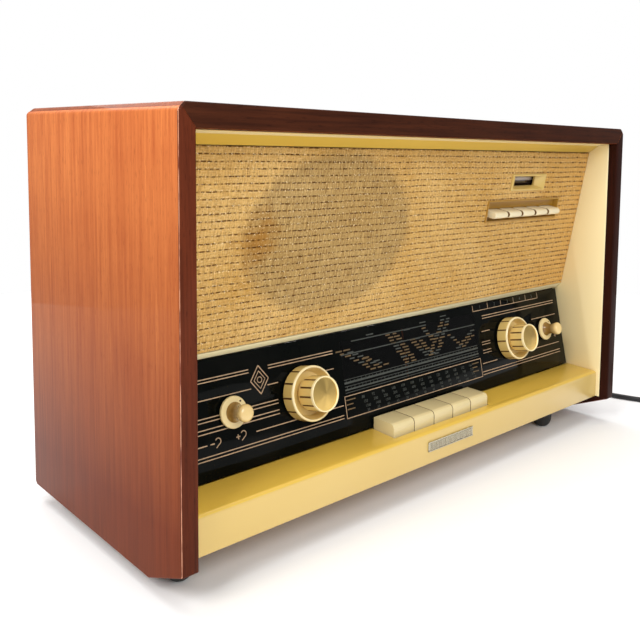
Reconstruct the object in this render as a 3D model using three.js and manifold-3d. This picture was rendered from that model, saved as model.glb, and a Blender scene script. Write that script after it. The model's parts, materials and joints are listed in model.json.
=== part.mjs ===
// A table-top valve radio of about 1960: wooden cabinet, cream front trim, sloping cloth grille, black dial
// glass, two double knobs, two small knobs, five piano keys, and the works that drive them.
// Millimetres. +X is the viewer's right, +Y the rear, +Z up. The origin is on the table, midway between
// the cabinet's sides and midway between its front and its rear.
import * as THREE from 'three';
import { mergeVertices } from 'three/addons/utils/BufferGeometryUtils.js';
import Module from 'manifold-3d';

const wasm = await Module();
wasm.setup();

// ---------------------------------------------------------------- driving dimensions
const WIDTH = 560;
const DEPTH = 235;
const CABINET_HEIGHT = 314;
const FEET_GAP = 12; // from the table to the underside of the side panels
const GAP = 0.3; // between pieces that touch on the real object
const SIDE_WOOD = 12.8;
const TOP_WOOD = 16;
const TRIM_SETBACK = 9; // the cream trim starts this far behind the wood's front edge

const FRONT = -DEPTH / 2;
const REAR = DEPTH / 2;
const TOP = FEET_GAP + CABINET_HEIGHT;
const HALF = WIDTH / 2;
const INNER_HALF = HALF - SIDE_WOOD;
const INNER_TOP = TOP - TOP_WOOD;
const TRIM_FRONT = FRONT + TRIM_SETBACK;
const TRIM_SHEET = 1.8; // thickness of the cheek trims
const FACE_HALF = INNER_HALF - GAP - TRIM_SHEET - GAP; // half width between the cheeks

// The front's side profile: the ledge, the dial leaning back, the grille leaning forward, [y, z].
const LEDGE_UNDERSIDE = 28.7;
const LEDGE_CREASE = [-105.1, 57.6];
const DIAL_FOOT = [-68.9, 59.5];
const DIAL_HEAD = [-51.2, 144.4];
const GRILLE_FOOT = [-57.9, 151.2];
const GRILLE_HEAD = [-86.7, 300.3];

const planeLength = (foot, head) => Math.hypot(head[0] - foot[0], head[1] - foot[1]);
const DIAL_HEIGHT = planeLength(DIAL_FOOT, DIAL_HEAD);
const GRILLE_HEIGHT = planeLength(GRILLE_FOOT, GRILLE_HEAD);

// ---------------------------------------------------------------- finishes
const finish = (color, roughness, metalness = 0) => new THREE.MeshStandardMaterial({ color, roughness, metalness });
const WOOD = finish(0x7a3019, 0.25);
const PLYWOOD = finish(0xb08a5a, 0.8);
const HARDBOARD = finish(0x5a3c26, 0.85);
const CREAM = finish(0xefdfae, 0.4);
const MUSTARD = finish(0xd8b548, 0.4);
const IVORY = finish(0xf0e8c8, 0.3);
const CLOTH = finish(0xc9a25e, 0.95);
const BLACK_GLASS = finish(0x0b0d0c, 0.08);
const GLASS = finish(0xd8e4e4, 0.05);
const BRASS = finish(0xd8bf86, 0.3, 0.9);
const STEEL = finish(0xa9abaa, 0.45, 0.9);
const DARK_STEEL = finish(0x3c3e40, 0.6, 0.7);
const ALUMINIUM = finish(0xc8cacb, 0.35, 0.9);
const PAPER = finish(0x2b2825, 0.9);
const VARNISH = finish(0x8a5a24, 0.5);
const RED_PAINT = finish(0xb02a18, 0.5);
const RUBBER = finish(0x161616, 0.7);
const CORD_PLASTIC = finish(0x111213, 0.5);

// ---------------------------------------------------------------- scene and placing
const radio = new THREE.Group();
const dialPlane = new THREE.Group();
const grillePlane = new THREE.Group();
radio.add(dialPlane, grillePlane);

// On both planes X runs right, Y up along the plane and Z out towards the listener.
function leanPlane(plane, foot, head) {
  plane.position.set(0, foot[0], foot[1]);
  plane.rotation.x = Math.atan2(head[1] - foot[1], head[0] - foot[0]);
}
leanPlane(dialPlane, DIAL_FOOT, DIAL_HEAD);
leanPlane(grillePlane, GRILLE_FOOT, GRILLE_HEAD);

function add(parent, name, geometry, material) {
  const mesh = new THREE.Mesh(geometry, material);
  mesh.name = name;
  parent.add(mesh);
  return mesh;
}

// ---------------------------------------------------------------- geometry helpers
const ALONG_X = new THREE.Matrix4().makeBasis(
  new THREE.Vector3(0, 1, 0),
  new THREE.Vector3(0, 0, 1),
  new THREE.Vector3(1, 0, 0),
);
const ALONG_Y = new THREE.Matrix4().makeBasis(
  new THREE.Vector3(1, 0, 0),
  new THREE.Vector3(0, 0, 1),
  new THREE.Vector3(0, -1, 0),
);

const polygon = (points) => new THREE.Shape(points.map(([a, b]) => new THREE.Vector2(a, b)));

// A flat shape with a thickness, standing from z = low to z = high.
function slab(shape, low, high) {
  return new THREE.ExtrudeGeometry(shape, { depth: high - low, bevelEnabled: false, curveSegments: 12 })
    .translate(0, 0, low);
}

// A side profile of [y, z] points carried from x = low to x = high.
const acrossX = (points, low, high) => slab(polygon(points), low, high).applyMatrix4(ALONG_X);

// A front outline of [x, z] points carried from y = front to y = rear.
const acrossY = (points, front, rear) => slab(polygon(points), -rear, -front).applyMatrix4(ALONG_Y);

// A box given by its lowest and highest corner.
function block(low, high) {
  const size = high.map((value, i) => value - low[i]);
  return new THREE.BoxGeometry(...size).translate(...low.map((value, i) => value + size[i] / 2));
}

// A turned piece from [radius, z] points; the axis is +Z.
function turned(profile, segments = 24) {
  const points = profile.map(([r, z]) => new THREE.Vector2(r, z));
  return new THREE.LatheGeometry(points, segments).rotateX(Math.PI / 2);
}

const rod = (radius, low, high, segments = 16) => turned([[0, low], [radius, low], [radius, high], [0, high]], segments);
const sleeve = (inner, outer, low, high, segments = 24) =>
  turned([[inner, low], [outer, low], [outer, high], [inner, high], [inner, low]], segments);

// Turns a piece made along +Z so that it lies along +Y, or along +X.
const layAlongY = (geometry) => geometry.rotateX(-Math.PI / 2);
const layAlongX = (geometry) => geometry.rotateY(Math.PI / 2);

function toSolid(geometry) {
  const bare = geometry.clone();
  bare.deleteAttribute('normal');
  bare.deleteAttribute('uv');
  const merged = mergeVertices(bare, 1e-4);
  const mesh = new wasm.Mesh({
    numProp: 3,
    vertProperties: new Float32Array(merged.attributes.position.array),
    triVerts: new Uint32Array(merged.index.array),
  });
  return new wasm.Manifold(mesh);
}

function toGeometry(solid) {
  const mesh = solid.getMesh();
  const geometry = new THREE.BufferGeometry();
  geometry.setAttribute('position', new THREE.BufferAttribute(mesh.vertProperties, 3));
  geometry.setIndex(new THREE.BufferAttribute(mesh.triVerts, 1));
  const flat = geometry.toNonIndexed();
  flat.computeVertexNormals();
  return flat;
}

const join = (...pieces) => toGeometry(pieces.map(toSolid).reduce((a, b) => a.add(b)));
const cut = (piece, ...tools) => toGeometry(tools.map(toSolid).reduce((a, b) => a.subtract(b), toSolid(piece)));
const common = (a, b) => toGeometry(toSolid(a).intersect(toSolid(b)));

// Cutting tools for holes, long enough to pass through any piece.
const THROUGH = 400;
const squareHole = (x, y, width, height) =>
  block([x - width / 2, y - height / 2, -THROUGH], [x + width / 2, y + height / 2, THROUGH]);
const roundHole = (x, y, radiusX, radiusY = radiusX, segments = 20) =>
  rod(1, -THROUGH, THROUGH, segments).scale(radiusX, radiusY, 1).translate(x, y, 0);

const rectangle = (left, bottom, right, top) => polygon([[left, bottom], [right, bottom], [right, top], [left, top]]);

// ---------------------------------------------------------------- cabinet
const CHAMFER_HEIGHT = 18.2; // the side panels' lower front corner is cut away
const CHAMFER_DEPTH = 43;
const BACK_CORNER = 3;
const BOARD_FRONT = -98;
const BOARD_BOTTOM = 30;
const BOARD_TOP = 38;
const REAR_COVER_FRONT = 111;
const REAR_COVER_REAR = 114;

function leftSidePanel() {
  const profile = [
    [FRONT, FEET_GAP + CHAMFER_HEIGHT],
    [FRONT + CHAMFER_DEPTH, FEET_GAP],
    [REAR - BACK_CORNER, FEET_GAP],
    [REAR, FEET_GAP + BACK_CORNER],
    [REAR, TOP - BACK_CORNER],
    [REAR - BACK_CORNER, TOP],
    [FRONT, TOP],
  ];
  const mitre = [
    [-HALF, FEET_GAP],
    [-INNER_HALF, FEET_GAP],
    [-INNER_HALF, INNER_TOP - GAP],
    [-HALF, TOP - GAP],
  ];
  return common(acrossX(profile, -HALF, -INNER_HALF), acrossY(mitre, FRONT, REAR));
}

const mirroredX = (geometry) => toGeometry(toSolid(geometry).mirror([1, 0, 0]));

function topPanel() {
  const outline = [
    [-INNER_HALF, INNER_TOP],
    [INNER_HALF, INNER_TOP],
    [HALF, TOP],
    [-HALF, TOP],
  ];
  const profile = [
    [FRONT, INNER_TOP],
    [REAR, INNER_TOP],
    [REAR, TOP - BACK_CORNER],
    [REAR - BACK_CORNER, TOP],
    [FRONT, TOP],
  ];
  return common(acrossY(outline, FRONT, REAR), acrossX(profile, -HALF, HALF));
}

const VENT_COLUMNS = 11;
const VENT_ROWS = 5;
const CORD_EXIT_X = 200;
const CORD_EXIT_Z = 56;

function rearCover() {
  const outline = rectangle(-INNER_HALF + GAP, BOARD_BOTTOM + 10, INNER_HALF - GAP, INNER_TOP - GAP);
  const holes = [roundHole(CORD_EXIT_X, CORD_EXIT_Z, 6.8)];
  for (let row = 0; row < VENT_ROWS; row += 1) {
    for (let column = 0; column < VENT_COLUMNS; column += 1) {
      holes.push(squareHole((column - (VENT_COLUMNS - 1) / 2) * 42, 110 + row * 36, 26, 7));
    }
  }
  return cut(slab(outline, -REAR_COVER_REAR, -REAR_COVER_FRONT), ...holes).applyMatrix4(ALONG_Y);
}

const leftPanel = leftSidePanel();
add(radio, 'side_panel_left', leftPanel, WOOD);
add(radio, 'side_panel_right', mirroredX(leftPanel), WOOD);
add(radio, 'top_panel', topPanel(), WOOD);
add(
  radio,
  'bottom_board',
  block([-INNER_HALF + GAP, BOARD_FRONT, BOARD_BOTTOM], [INNER_HALF - GAP, REAR_COVER_FRONT - 1, BOARD_TOP]),
  PLYWOOD,
);
add(radio, 'rear_cover', rearCover(), HARDBOARD);

// ---------------------------------------------------------------- cream trim and ledge
const TRIM_BACK = -46;
const cheekOutline = [
  [TRIM_FRONT, LEDGE_UNDERSIDE],
  [BOARD_FRONT - GAP, LEDGE_UNDERSIDE],
  [BOARD_FRONT - GAP, BOARD_TOP + GAP],
  [TRIM_BACK, BOARD_TOP + GAP],
  [TRIM_BACK, INNER_TOP - GAP],
  [TRIM_FRONT, INNER_TOP - GAP],
];
const TOP_TRIM_CREASE = [-97.5, 307.8];
const topTrimOutline = [
  [TRIM_FRONT, INNER_TOP - GAP],
  [TRIM_FRONT, INNER_TOP - 1],
  TOP_TRIM_CREASE,
  [GRILLE_HEAD[0], GRILLE_HEAD[1] + GAP],
  [GRILLE_HEAD[0] + 7, GRILLE_HEAD[1] + 3],
  [GRILLE_HEAD[0] + 7, INNER_TOP - GAP],
];
const lipOutline = [
  [GRILLE_FOOT[0], GRILLE_FOOT[1] - GAP],
  [DIAL_HEAD[0], DIAL_HEAD[1] + 2 * GAP],
  [DIAL_HEAD[0] + 8, DIAL_HEAD[1] + 2 * GAP],
  [DIAL_HEAD[0] + 8, GRILLE_FOOT[1] - GAP],
];

const KEY_COUNT = 5;
const KEY_PITCH = 26.7;
const KEY_WIDTH = 26;
const KEYS_CENTRE_X = 8.8;
const KEY_FRONT = -93.5;
const KEY_BACK = -69.9;
const KEYS_HALF = (KEY_COUNT * KEY_PITCH) / 2;
const LEDGE_SHELL = 3;

function frontLedge() {
  const [creaseY, creaseZ] = LEDGE_CREASE;
  const [backY, backZ] = [DIAL_FOOT[0] - GAP, DIAL_FOOT[1]];
  const outline = [
    [creaseY, LEDGE_UNDERSIDE],
    [creaseY + LEDGE_SHELL, LEDGE_UNDERSIDE],
    [creaseY + LEDGE_SHELL, creaseZ - LEDGE_SHELL],
    [backY, backZ - LEDGE_SHELL],
    [backY, backZ],
    [creaseY + 2, creaseZ],
    [creaseY, creaseZ - 2],
  ];
  const shell = acrossX(outline, -FACE_HALF, FACE_HALF);
  const keySlot = block(
    [KEYS_CENTRE_X - KEYS_HALF - 0.8, KEY_FRONT - 1.8, creaseZ - 8],
    [KEYS_CENTRE_X + KEYS_HALF + 0.8, backY + 5, backZ + 8],
  );
  return cut(shell, keySlot);
}

const BADGE_CENTRE = [4.5, 44.6];
const BADGE_SIZE = [62.5, 8.6];
const BADGE_THICKNESS = 1.2;

function nameBadge() {
  const [x, z] = BADGE_CENTRE;
  const [width, height] = BADGE_SIZE;
  const rear = LEDGE_CREASE[0] - GAP;
  return block([x - width / 2, rear - BADGE_THICKNESS, z - height / 2], [x + width / 2, rear, z + height / 2]);
}

const leftCheek = acrossX(cheekOutline, -INNER_HALF + GAP, -INNER_HALF + GAP + TRIM_SHEET);
add(radio, 'cheek_trim_left', leftCheek, CREAM);
add(radio, 'cheek_trim_right', mirroredX(leftCheek), CREAM);
add(radio, 'top_trim', acrossX(topTrimOutline, -FACE_HALF, FACE_HALF), CREAM);
add(radio, 'grille_lip', acrossX(lipOutline, -FACE_HALF, FACE_HALF), CREAM);
add(radio, 'front_ledge', frontLedge(), MUSTARD);
add(radio, 'name_badge', nameBadge(), BRASS);

// ---------------------------------------------------------------- grille board, cloth, eye and register tray
const CLOTH_THICKNESS = 1;
const BAFFLE_FRONT = -CLOTH_THICKNESS - GAP;
const BAFFLE_BACK = BAFFLE_FRONT - 8;
const SPEAKER = { x: -110, y: 85, halfWidth: 88, halfHeight: 65 };
const EYE = { x: 154.5, y: 120.2, width: 60, height: 17, windowWidth: 36, windowHeight: 9.5 };
const TRAY = { x: 155.5, y: 91.5, width: 128, height: 22 };
const BUTTON_COUNT = 5;
const BUTTON_PITCH = 24;
const BUTTON_WIDTH = 21;
const BUTTON_HEIGHT = 7;
const BUTTON_Y = TRAY.y - 2.5;
const BUTTON_OUT = 8;
const BUTTON_TAIL = -13;

function grilleSheet(margin, low, high, ...holes) {
  const face = slab(rectangle(-FACE_HALF, margin, FACE_HALF, GRILLE_HEIGHT - margin), low, high);
  const eyeHole = squareHole(EYE.x, EYE.y, EYE.width + 2 * GAP, EYE.height + 2 * GAP);
  const trayHole = squareHole(TRAY.x, TRAY.y, TRAY.width + 2 * GAP, TRAY.height + 2 * GAP);
  return cut(face, eyeHole, trayHole, ...holes);
}

function baffleBoard() {
  const { x, y, halfWidth, halfHeight } = SPEAKER;
  return grilleSheet(0.5, BAFFLE_BACK, BAFFLE_FRONT, roundHole(x, y, halfWidth, halfHeight, 40));
}

// A window with splayed sides: wide at the cloth, narrow where the eye tube looks out.
function eyeFrame() {
  const shell = slab(rectangle(-EYE.width / 2, -EYE.height / 2, EYE.width / 2, EYE.height / 2), -7, 1);
  const depth = 5.4;
  const splay = new THREE.CylinderGeometry(Math.SQRT1_2, Math.SQRT1_2, depth + 0.2, 4, 1)
    .rotateY(Math.PI / 4)
    .rotateX(Math.PI / 2)
    .translate(0, 0, 1.1 - depth / 2);
  const position = splay.attributes.position;
  for (let i = 0; i < position.count; i += 1) {
    const wide = position.getZ(i) > 0;
    const width = wide ? EYE.width - 4 : EYE.windowWidth;
    const height = wide ? EYE.height - 3 : EYE.windowHeight;
    position.setX(i, position.getX(i) * width);
    position.setY(i, position.getY(i) * height);
  }
  const throat = block(
    [-EYE.windowWidth / 2, -EYE.windowHeight / 2, -8],
    [EYE.windowWidth / 2, EYE.windowHeight / 2, 0],
  );
  return cut(shell, splay, throat).translate(EYE.x, EYE.y, 0);
}

// The eye tube lies behind its window, its glass envelope across the radio.
function eyeTube() {
  const radius = 9.5;
  const profile = [[0, -32], [7, -32], [radius, -30], [radius, 20], [7, 26], [0, 29]];
  return layAlongX(turned(profile, 20)).translate(EYE.x, EYE.y, BAFFLE_BACK - GAP - radius);
}

function registerFrame() {
  const halfWidth = TRAY.width / 2;
  const halfHeight = TRAY.height / 2;
  const shell = slab(rectangle(-halfWidth, -halfHeight, halfWidth, halfHeight), -8, 1);
  const pocket = block([-halfWidth + 1.5, -halfHeight + 1.5, -5], [halfWidth - 1.5, halfHeight - 1.5, 3]);
  const slots = [];
  for (let i = 0; i < BUTTON_COUNT; i += 1) {
    const x = buttonX(i) - TRAY.x;
    const y = BUTTON_Y - TRAY.y;
    const reachX = BUTTON_WIDTH / 2 + 0.4;
    const reachY = BUTTON_HEIGHT / 2 + 0.4;
    slots.push(block([x - reachX, y - reachY, -9], [x + reachX, y + reachY, -4]));
  }
  return cut(shell, pocket, ...slots).translate(TRAY.x, TRAY.y, 0);
}

const buttonX = (index) => TRAY.x + (index - (BUTTON_COUNT - 1) / 2) * BUTTON_PITCH;

function registerButton() {
  const halfHeight = BUTTON_HEIGHT / 2;
  const nose = [
    [-halfHeight, BUTTON_TAIL],
    [halfHeight, BUTTON_TAIL],
    [halfHeight, BUTTON_OUT - 3],
    [halfHeight - 1, BUTTON_OUT - 1],
    [halfHeight - 2.4, BUTTON_OUT],
    [-halfHeight + 2.4, BUTTON_OUT],
    [-halfHeight + 1, BUTTON_OUT - 1],
    [-halfHeight, BUTTON_OUT - 3],
  ];
  return acrossX(nose, -BUTTON_WIDTH / 2, BUTTON_WIDTH / 2);
}

add(grillePlane, 'baffle_board', baffleBoard(), PLYWOOD);
add(grillePlane, 'grille_cloth', grilleSheet(GAP, -CLOTH_THICKNESS, 0), CLOTH);
add(grillePlane, 'eye_frame', eyeFrame(), CREAM);
add(grillePlane, 'eye_tube', eyeTube(), GLASS);
add(grillePlane, 'register_frame', registerFrame(), MUSTARD);
for (let i = 0; i < BUTTON_COUNT; i += 1) {
  add(grillePlane, `register_button_${i + 1}`, registerButton(), IVORY).position.set(buttonX(i), BUTTON_Y, 0);
}

// ---------------------------------------------------------------- loudspeaker
// Turned in round form, then squeezed to an oval.
const OVAL = 70 / 95;
const SPEAKER_SEAT = BAFFLE_BACK - GAP;

function ovalPiece(profile, segments) {
  const lifted = profile.map(([r, z]) => [r, SPEAKER_SEAT + z]);
  return turned(lifted, segments).scale(1, OVAL, 1).translate(SPEAKER.x, SPEAKER.y, 0);
}

const basketProfile = [
  [86.5, 0], [85, -1], [41, -32], [16, -32], [16, -34], [42, -34], [87, -2], [95, -2], [95, 0], [86.5, 0],
];
const coneProfile = [
  [0, -25.2], [9, -26.2], [14, -29.7], [82, -1.6], [82, -0.5], [14, -28.5], [9, -25], [0, -24],
];
add(grillePlane, 'speaker_basket', ovalPiece(basketProfile, 32), DARK_STEEL);
add(grillePlane, 'speaker_cone', ovalPiece(coneProfile, 32), PAPER);
add(
  grillePlane,
  'speaker_magnet',
  rod(28, SPEAKER_SEAT - 60, SPEAKER_SEAT - 34 - GAP, 24).translate(SPEAKER.x, SPEAKER.y, 0),
  STEEL,
);

// ---------------------------------------------------------------- dial
const CONTROL_Y = 44.5; // height of every control up the dial
const BASS_X = -200.8;
const VOLUME_X = -130.2;
const TUNING_X = 158;
const TREBLE_X = 226;
const GLASS_THICKNESS = 3;
const BACKPLATE = { front: -8, back: -9, bottom: 5, top: 79 };
const CONTROL_PLATE = { front: -16.5, back: -18, bottom: 14, top: 74 };
const POINTER_TRAVEL = 66; // each way from the middle

function dialPlate(bottom, top, back, front, smallHole, largeHole) {
  const face = slab(rectangle(-FACE_HALF + 2, bottom, FACE_HALF - 2, top), back, front);
  const small = [BASS_X, TREBLE_X].map((x) => roundHole(x, CONTROL_Y, smallHole));
  const large = [VOLUME_X, TUNING_X].map((x) => roundHole(x, CONTROL_Y, largeHole));
  return cut(face, ...small, ...large);
}

// The pointer's blade hangs between glass and backplate; its hook passes over the backplate's top edge.
function dialPointer() {
  const bladeBottom = 12;
  const hookBottom = BACKPLATE.top + 1.2;
  const hookTop = hookBottom + 1.6;
  const blade = block([-0.6, bladeBottom, -5.6], [0.6, hookTop, -4.4]);
  const hook = block([-1.5, hookBottom, -12], [1.5, hookTop, -4.4]);
  const carriage = block([-7, hookTop - 9, -12], [7, hookTop, -10.5]);
  return join(blade, hook, carriage);
}

add(
  dialPlane,
  'dial_glass',
  dialPlate(GAP, DIAL_HEIGHT - GAP, -GLASS_THICKNESS, 0, 3.4, 6.4),
  BLACK_GLASS,
);
add(
  dialPlane,
  'dial_backplate',
  dialPlate(BACKPLATE.bottom, BACKPLATE.top, BACKPLATE.back, BACKPLATE.front, 4, 7),
  CREAM,
);
add(
  dialPlane,
  'control_plate',
  dialPlate(CONTROL_PLATE.bottom, CONTROL_PLATE.top, CONTROL_PLATE.back, CONTROL_PLATE.front, 2.6, 5.4),
  STEEL,
);
add(dialPlane, 'dial_pointer', dialPointer(), RED_PAINT);

// ---------------------------------------------------------------- knobs and their shafts
const RING_RADIUS = 22;
const RING_DEPTH = 14;
const RECESS_FLOOR = 5.5; // the ring is dished, so that the inner knob turns clear of it
const KNOB_RADIUS = 14;
const KNOB_BACK = 11;
const KNOB_FRONT = 28;
const SHAFT_RADIUS = 3;
const SLEEVE_RADIUS = 5;
const SMALL_SHAFT_RADIUS = 2.2;

// The outer ring carries its own sleeve, which runs in the control plate.
function ringKnob() {
  const bore = SHAFT_RADIUS + 0.4;
  return turned([
    [bore, -26], [SLEEVE_RADIUS, -26], [SLEEVE_RADIUS, 1], [20, 1], [RING_RADIUS, 3],
    [RING_RADIUS, RING_DEPTH - 1.2], [RING_RADIUS - 1.2, RING_DEPTH], [19.2, RING_DEPTH],
    [18, RECESS_FLOOR], [bore, RECESS_FLOOR], [bore, -26],
  ], 32);
}

function innerKnob() {
  const bore = SHAFT_RADIUS + GAP;
  return turned([
    [0, 20], [bore, 20], [bore, KNOB_BACK], [12.8, KNOB_BACK], [KNOB_RADIUS, KNOB_BACK + 1.2],
    [KNOB_RADIUS, KNOB_FRONT - 1.5], [13, KNOB_FRONT], [10.5, KNOB_FRONT], [10, KNOB_FRONT - 1], [0, KNOB_FRONT - 0.3],
  ], 28);
}

const knobShaft = () => rod(SHAFT_RADIUS, -34, 20 - GAP, 14);

// A disc with a waisted post, on its own shaft.
function smallKnob() {
  return turned([
    [0, -24], [SMALL_SHAFT_RADIUS, -24], [SMALL_SHAFT_RADIUS, 1.5], [12, 1.5], [12, 4], [8.5, 5], [5.8, 7],
    [5, 11], [6.6, 17], [5.6, 20], [3.5, 21], [0, 21.3],
  ], 24);
}

function addOnDial(name, geometry, material, x) {
  add(dialPlane, name, geometry, material).position.set(x, CONTROL_Y, 0);
}

addOnDial('bass_knob', smallKnob(), IVORY, BASS_X);
addOnDial('treble_knob', smallKnob(), IVORY, TREBLE_X);
addOnDial('tone_ring', ringKnob(), CREAM, VOLUME_X);
addOnDial('tuning_ring', ringKnob(), CREAM, TUNING_X);
addOnDial('volume_knob', innerKnob(), BRASS, VOLUME_X);
addOnDial('fine_tuning_knob', innerKnob(), BRASS, TUNING_X);
addOnDial('volume_shaft', knobShaft(), STEEL, VOLUME_X);
addOnDial('tuning_shaft', knobShaft(), STEEL, TUNING_X);

// ---------------------------------------------------------------- piano keys
const KEY_AXLE = [-45, 45.2]; // [y, z]
const AXLE_RADIUS = 1.7;
const EAR_THICKNESS = 2;

// A key cap with its lever, which runs back under the dial glass to the axle.
function pianoKey() {
  const profile = polygon([
    [KEY_FRONT, 44.4], [KEY_FRONT + 4, 42.6], [-39.5, 41], [-39.5, 49.8], [KEY_BACK, 49.8], [KEY_BACK, 69],
    [KEY_FRONT + 3.5, 68.4], [KEY_FRONT + 1.2, 67.4], [KEY_FRONT, 65],
  ]);
  const key = slab(profile, -KEY_WIDTH / 2, KEY_WIDTH / 2);
  return cut(key, roundHole(...KEY_AXLE, AXLE_RADIUS + 0.4)).applyMatrix4(ALONG_X);
}

// A channel screwed to the bottom board, with the axle riveted through its two ears.
function keyBracket() {
  const [axleY, axleZ] = KEY_AXLE;
  const reach = KEYS_HALF + 2 * GAP + EAR_THICKNESS;
  const base = block([-reach, axleY - 8, BOARD_TOP + GAP], [reach, axleY + 8, BOARD_TOP + 1.8]);
  const ears = [-1, 1].map((side) => {
    const middle = side * (reach - EAR_THICKNESS / 2);
    return block(
      [middle - EAR_THICKNESS / 2, axleY - 8, BOARD_TOP + GAP],
      [middle + EAR_THICKNESS / 2, axleY + 8, axleZ + 5],
    );
  });
  const axle = layAlongX(rod(AXLE_RADIUS, -reach - 1, reach + 1, 12)).translate(0, axleY, axleZ);
  return join(base, ...ears, axle).translate(KEYS_CENTRE_X, 0, 0);
}

for (let i = 0; i < KEY_COUNT; i += 1) {
  const key = add(radio, `piano_key_${i + 1}`, pianoKey(), IVORY);
  key.position.x = KEYS_CENTRE_X + (i - (KEY_COUNT - 1) / 2) * KEY_PITCH;
}
add(radio, 'key_bracket', keyBracket(), STEEL);

// ---------------------------------------------------------------- chassis and works
const CHASSIS = { left: -210, right: 235, front: -20, rear: 98, bottom: BOARD_TOP + GAP, top: 92 };
const SHEET = 1.5;
const DECK = CHASSIS.top + GAP;

function chassis() {
  const { left, right, front, rear, bottom, top } = CHASSIS;
  const shell = block([left, front, bottom], [right, rear, top]);
  const hollow = block([left + SHEET, front + SHEET, bottom - 1], [right - SHEET, rear - SHEET, top - SHEET]);
  return cut(shell, hollow);
}

// A laminated core with two windows, and the winding on its middle leg.
function transformer(size, stack) {
  const middle = size * 0.85;
  const core = slab(rectangle(-size, 0, size, 2 * middle), -stack / 2, stack / 2);
  const windows = [-1, 1].map((side) => squareHole(side * size * 0.49, middle, size * 0.44, size * 1.15));
  const laminations = cut(core, ...windows).applyMatrix4(ALONG_Y);
  const reach = size * 0.66;
  const winding = block(
    [-reach, -stack / 2 - 9, middle - size * 0.52],
    [reach, stack / 2 + 9, middle + size * 0.52],
  );
  return join(laminations, winding);
}

const GANG = { x: 70, left: 46, right: 94, front: -16, rear: 33, top: 142, axisZ: 118, shaft: 3 };
const VANE_PITCH = 6;
const VANE_COUNT = 6;
const VANE_THICKNESS = 1.2;
const VANE_RADIUS = 19;
const FIRST_VANE = -8;

// Base, two end plates and the stator's plates, held together by a bar on the left.
function gangFrame() {
  const { left, right, front, rear, top, x, axisZ, shaft } = GANG;
  const base = block([left, front, DECK], [right, rear, DECK + SHEET]);
  const pieces = [base];
  for (const y of [front, rear - SHEET]) {
    const plate = slab(rectangle(left, DECK, right, top), -y - SHEET, -y);
    pieces.push(cut(plate, roundHole(x, axisZ, shaft + 0.4)).applyMatrix4(ALONG_Y));
  }
  pieces.push(block([left, front, axisZ - 8], [left + 2, rear, axisZ + 8]));
  for (let i = 0; i < VANE_COUNT - 1; i += 1) {
    const middle = FIRST_VANE + (i + 0.5) * VANE_PITCH;
    pieces.push(
      block(
        [left + 1, middle - VANE_THICKNESS / 2, axisZ - 16],
        [x - shaft - 1.5, middle + VANE_THICKNESS / 2, axisZ + 16],
      ),
    );
  }
  return join(...pieces);
}

// Half-round vanes on the shaft; at rest they are half in mesh with the stator.
function gangRotor() {
  const halfDisc = new THREE.Shape();
  halfDisc.absarc(0, 0, VANE_RADIUS, Math.PI / 2, -Math.PI / 2, false);
  const pieces = [layAlongY(rod(GANG.shaft, DRUM_FRONT + GAP, GANG.rear + 3, 14))];
  for (let i = 0; i < VANE_COUNT; i += 1) {
    const y = FIRST_VANE + i * VANE_PITCH;
    pieces.push(slab(halfDisc, -y - VANE_THICKNESS / 2, -y + VANE_THICKNESS / 2).applyMatrix4(ALONG_Y));
  }
  return join(...pieces).translate(GANG.x, 0, GANG.axisZ);
}

const DRUM_RADIUS = 42; // half a turn winds the pointer's whole travel
const DRUM_FRONT = -30;
const DRUM_REAR = -24;

// A spoked-in web with a grooved rim for the pointer's drive cord.
function driveDrum() {
  const bore = GANG.shaft + GAP;
  const middle = (DRUM_FRONT + DRUM_REAR) / 2;
  const profile = [
    [bore, DRUM_FRONT], [9, DRUM_FRONT], [9, middle - 0.75], [DRUM_RADIUS - 3, middle - 0.75],
    [DRUM_RADIUS - 3, DRUM_FRONT], [DRUM_RADIUS, DRUM_FRONT], [DRUM_RADIUS - 1.5, middle],
    [DRUM_RADIUS, DRUM_REAR], [DRUM_RADIUS - 3, DRUM_REAR], [DRUM_RADIUS - 3, middle + 0.75],
    [9, middle + 0.75], [9, DRUM_REAR], [bore, DRUM_REAR], [bore, DRUM_FRONT],
  ];
  return layAlongY(turned(profile, 32)).translate(GANG.x, 0, GANG.axisZ);
}

function valve(height) {
  const profile = [[0, 0], [10, 0], [11, 2], [11, height - 9], [8, height - 4], [2.5, height - 2], [0, height + 3]];
  return turned(profile, 20);
}

const VALVES = [
  { x: -45, y: 35, height: 58 },
  { x: 5, y: 55, height: 64 },
  { x: 130, y: 45, height: 70 },
];

add(radio, 'chassis', chassis(), STEEL);
add(radio, 'gang_frame', gangFrame(), ALUMINIUM);
add(radio, 'gang_rotor', gangRotor(), ALUMINIUM);
add(radio, 'drive_drum', driveDrum(), BRASS);
add(radio, 'mains_transformer', transformer(38, 30), VARNISH).position.set(-160, 50, DECK);
add(radio, 'output_transformer', transformer(24, 20), VARNISH).position.set(190, 45, DECK);
VALVES.forEach(({ x, y, height }, i) => {
  add(radio, `valve_${i + 1}`, valve(height), GLASS).position.set(x, y, DECK);
});

// ---------------------------------------------------------------- feet
const FEET = [[-255.5, -73.5], [208, -72.5], [-250, 85], [250, 85]];

FEET.forEach(([x, y], i) => {
  const profile = [[0, 0], [8, 0], [9.5, 2.5], [10.5, 12], [10.5, BOARD_BOTTOM - GAP], [0, BOARD_BOTTOM - GAP]];
  add(radio, `foot_${i + 1}`, turned(profile, 20), RUBBER).position.set(x, y, 0);
});

// ---------------------------------------------------------------- mains cord
const CORD_RADIUS = 2.8;
const CORD_LAY = CORD_RADIUS + GAP; // height of its middle where it lies on the table
const RELIEF_TIP = 148;

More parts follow.
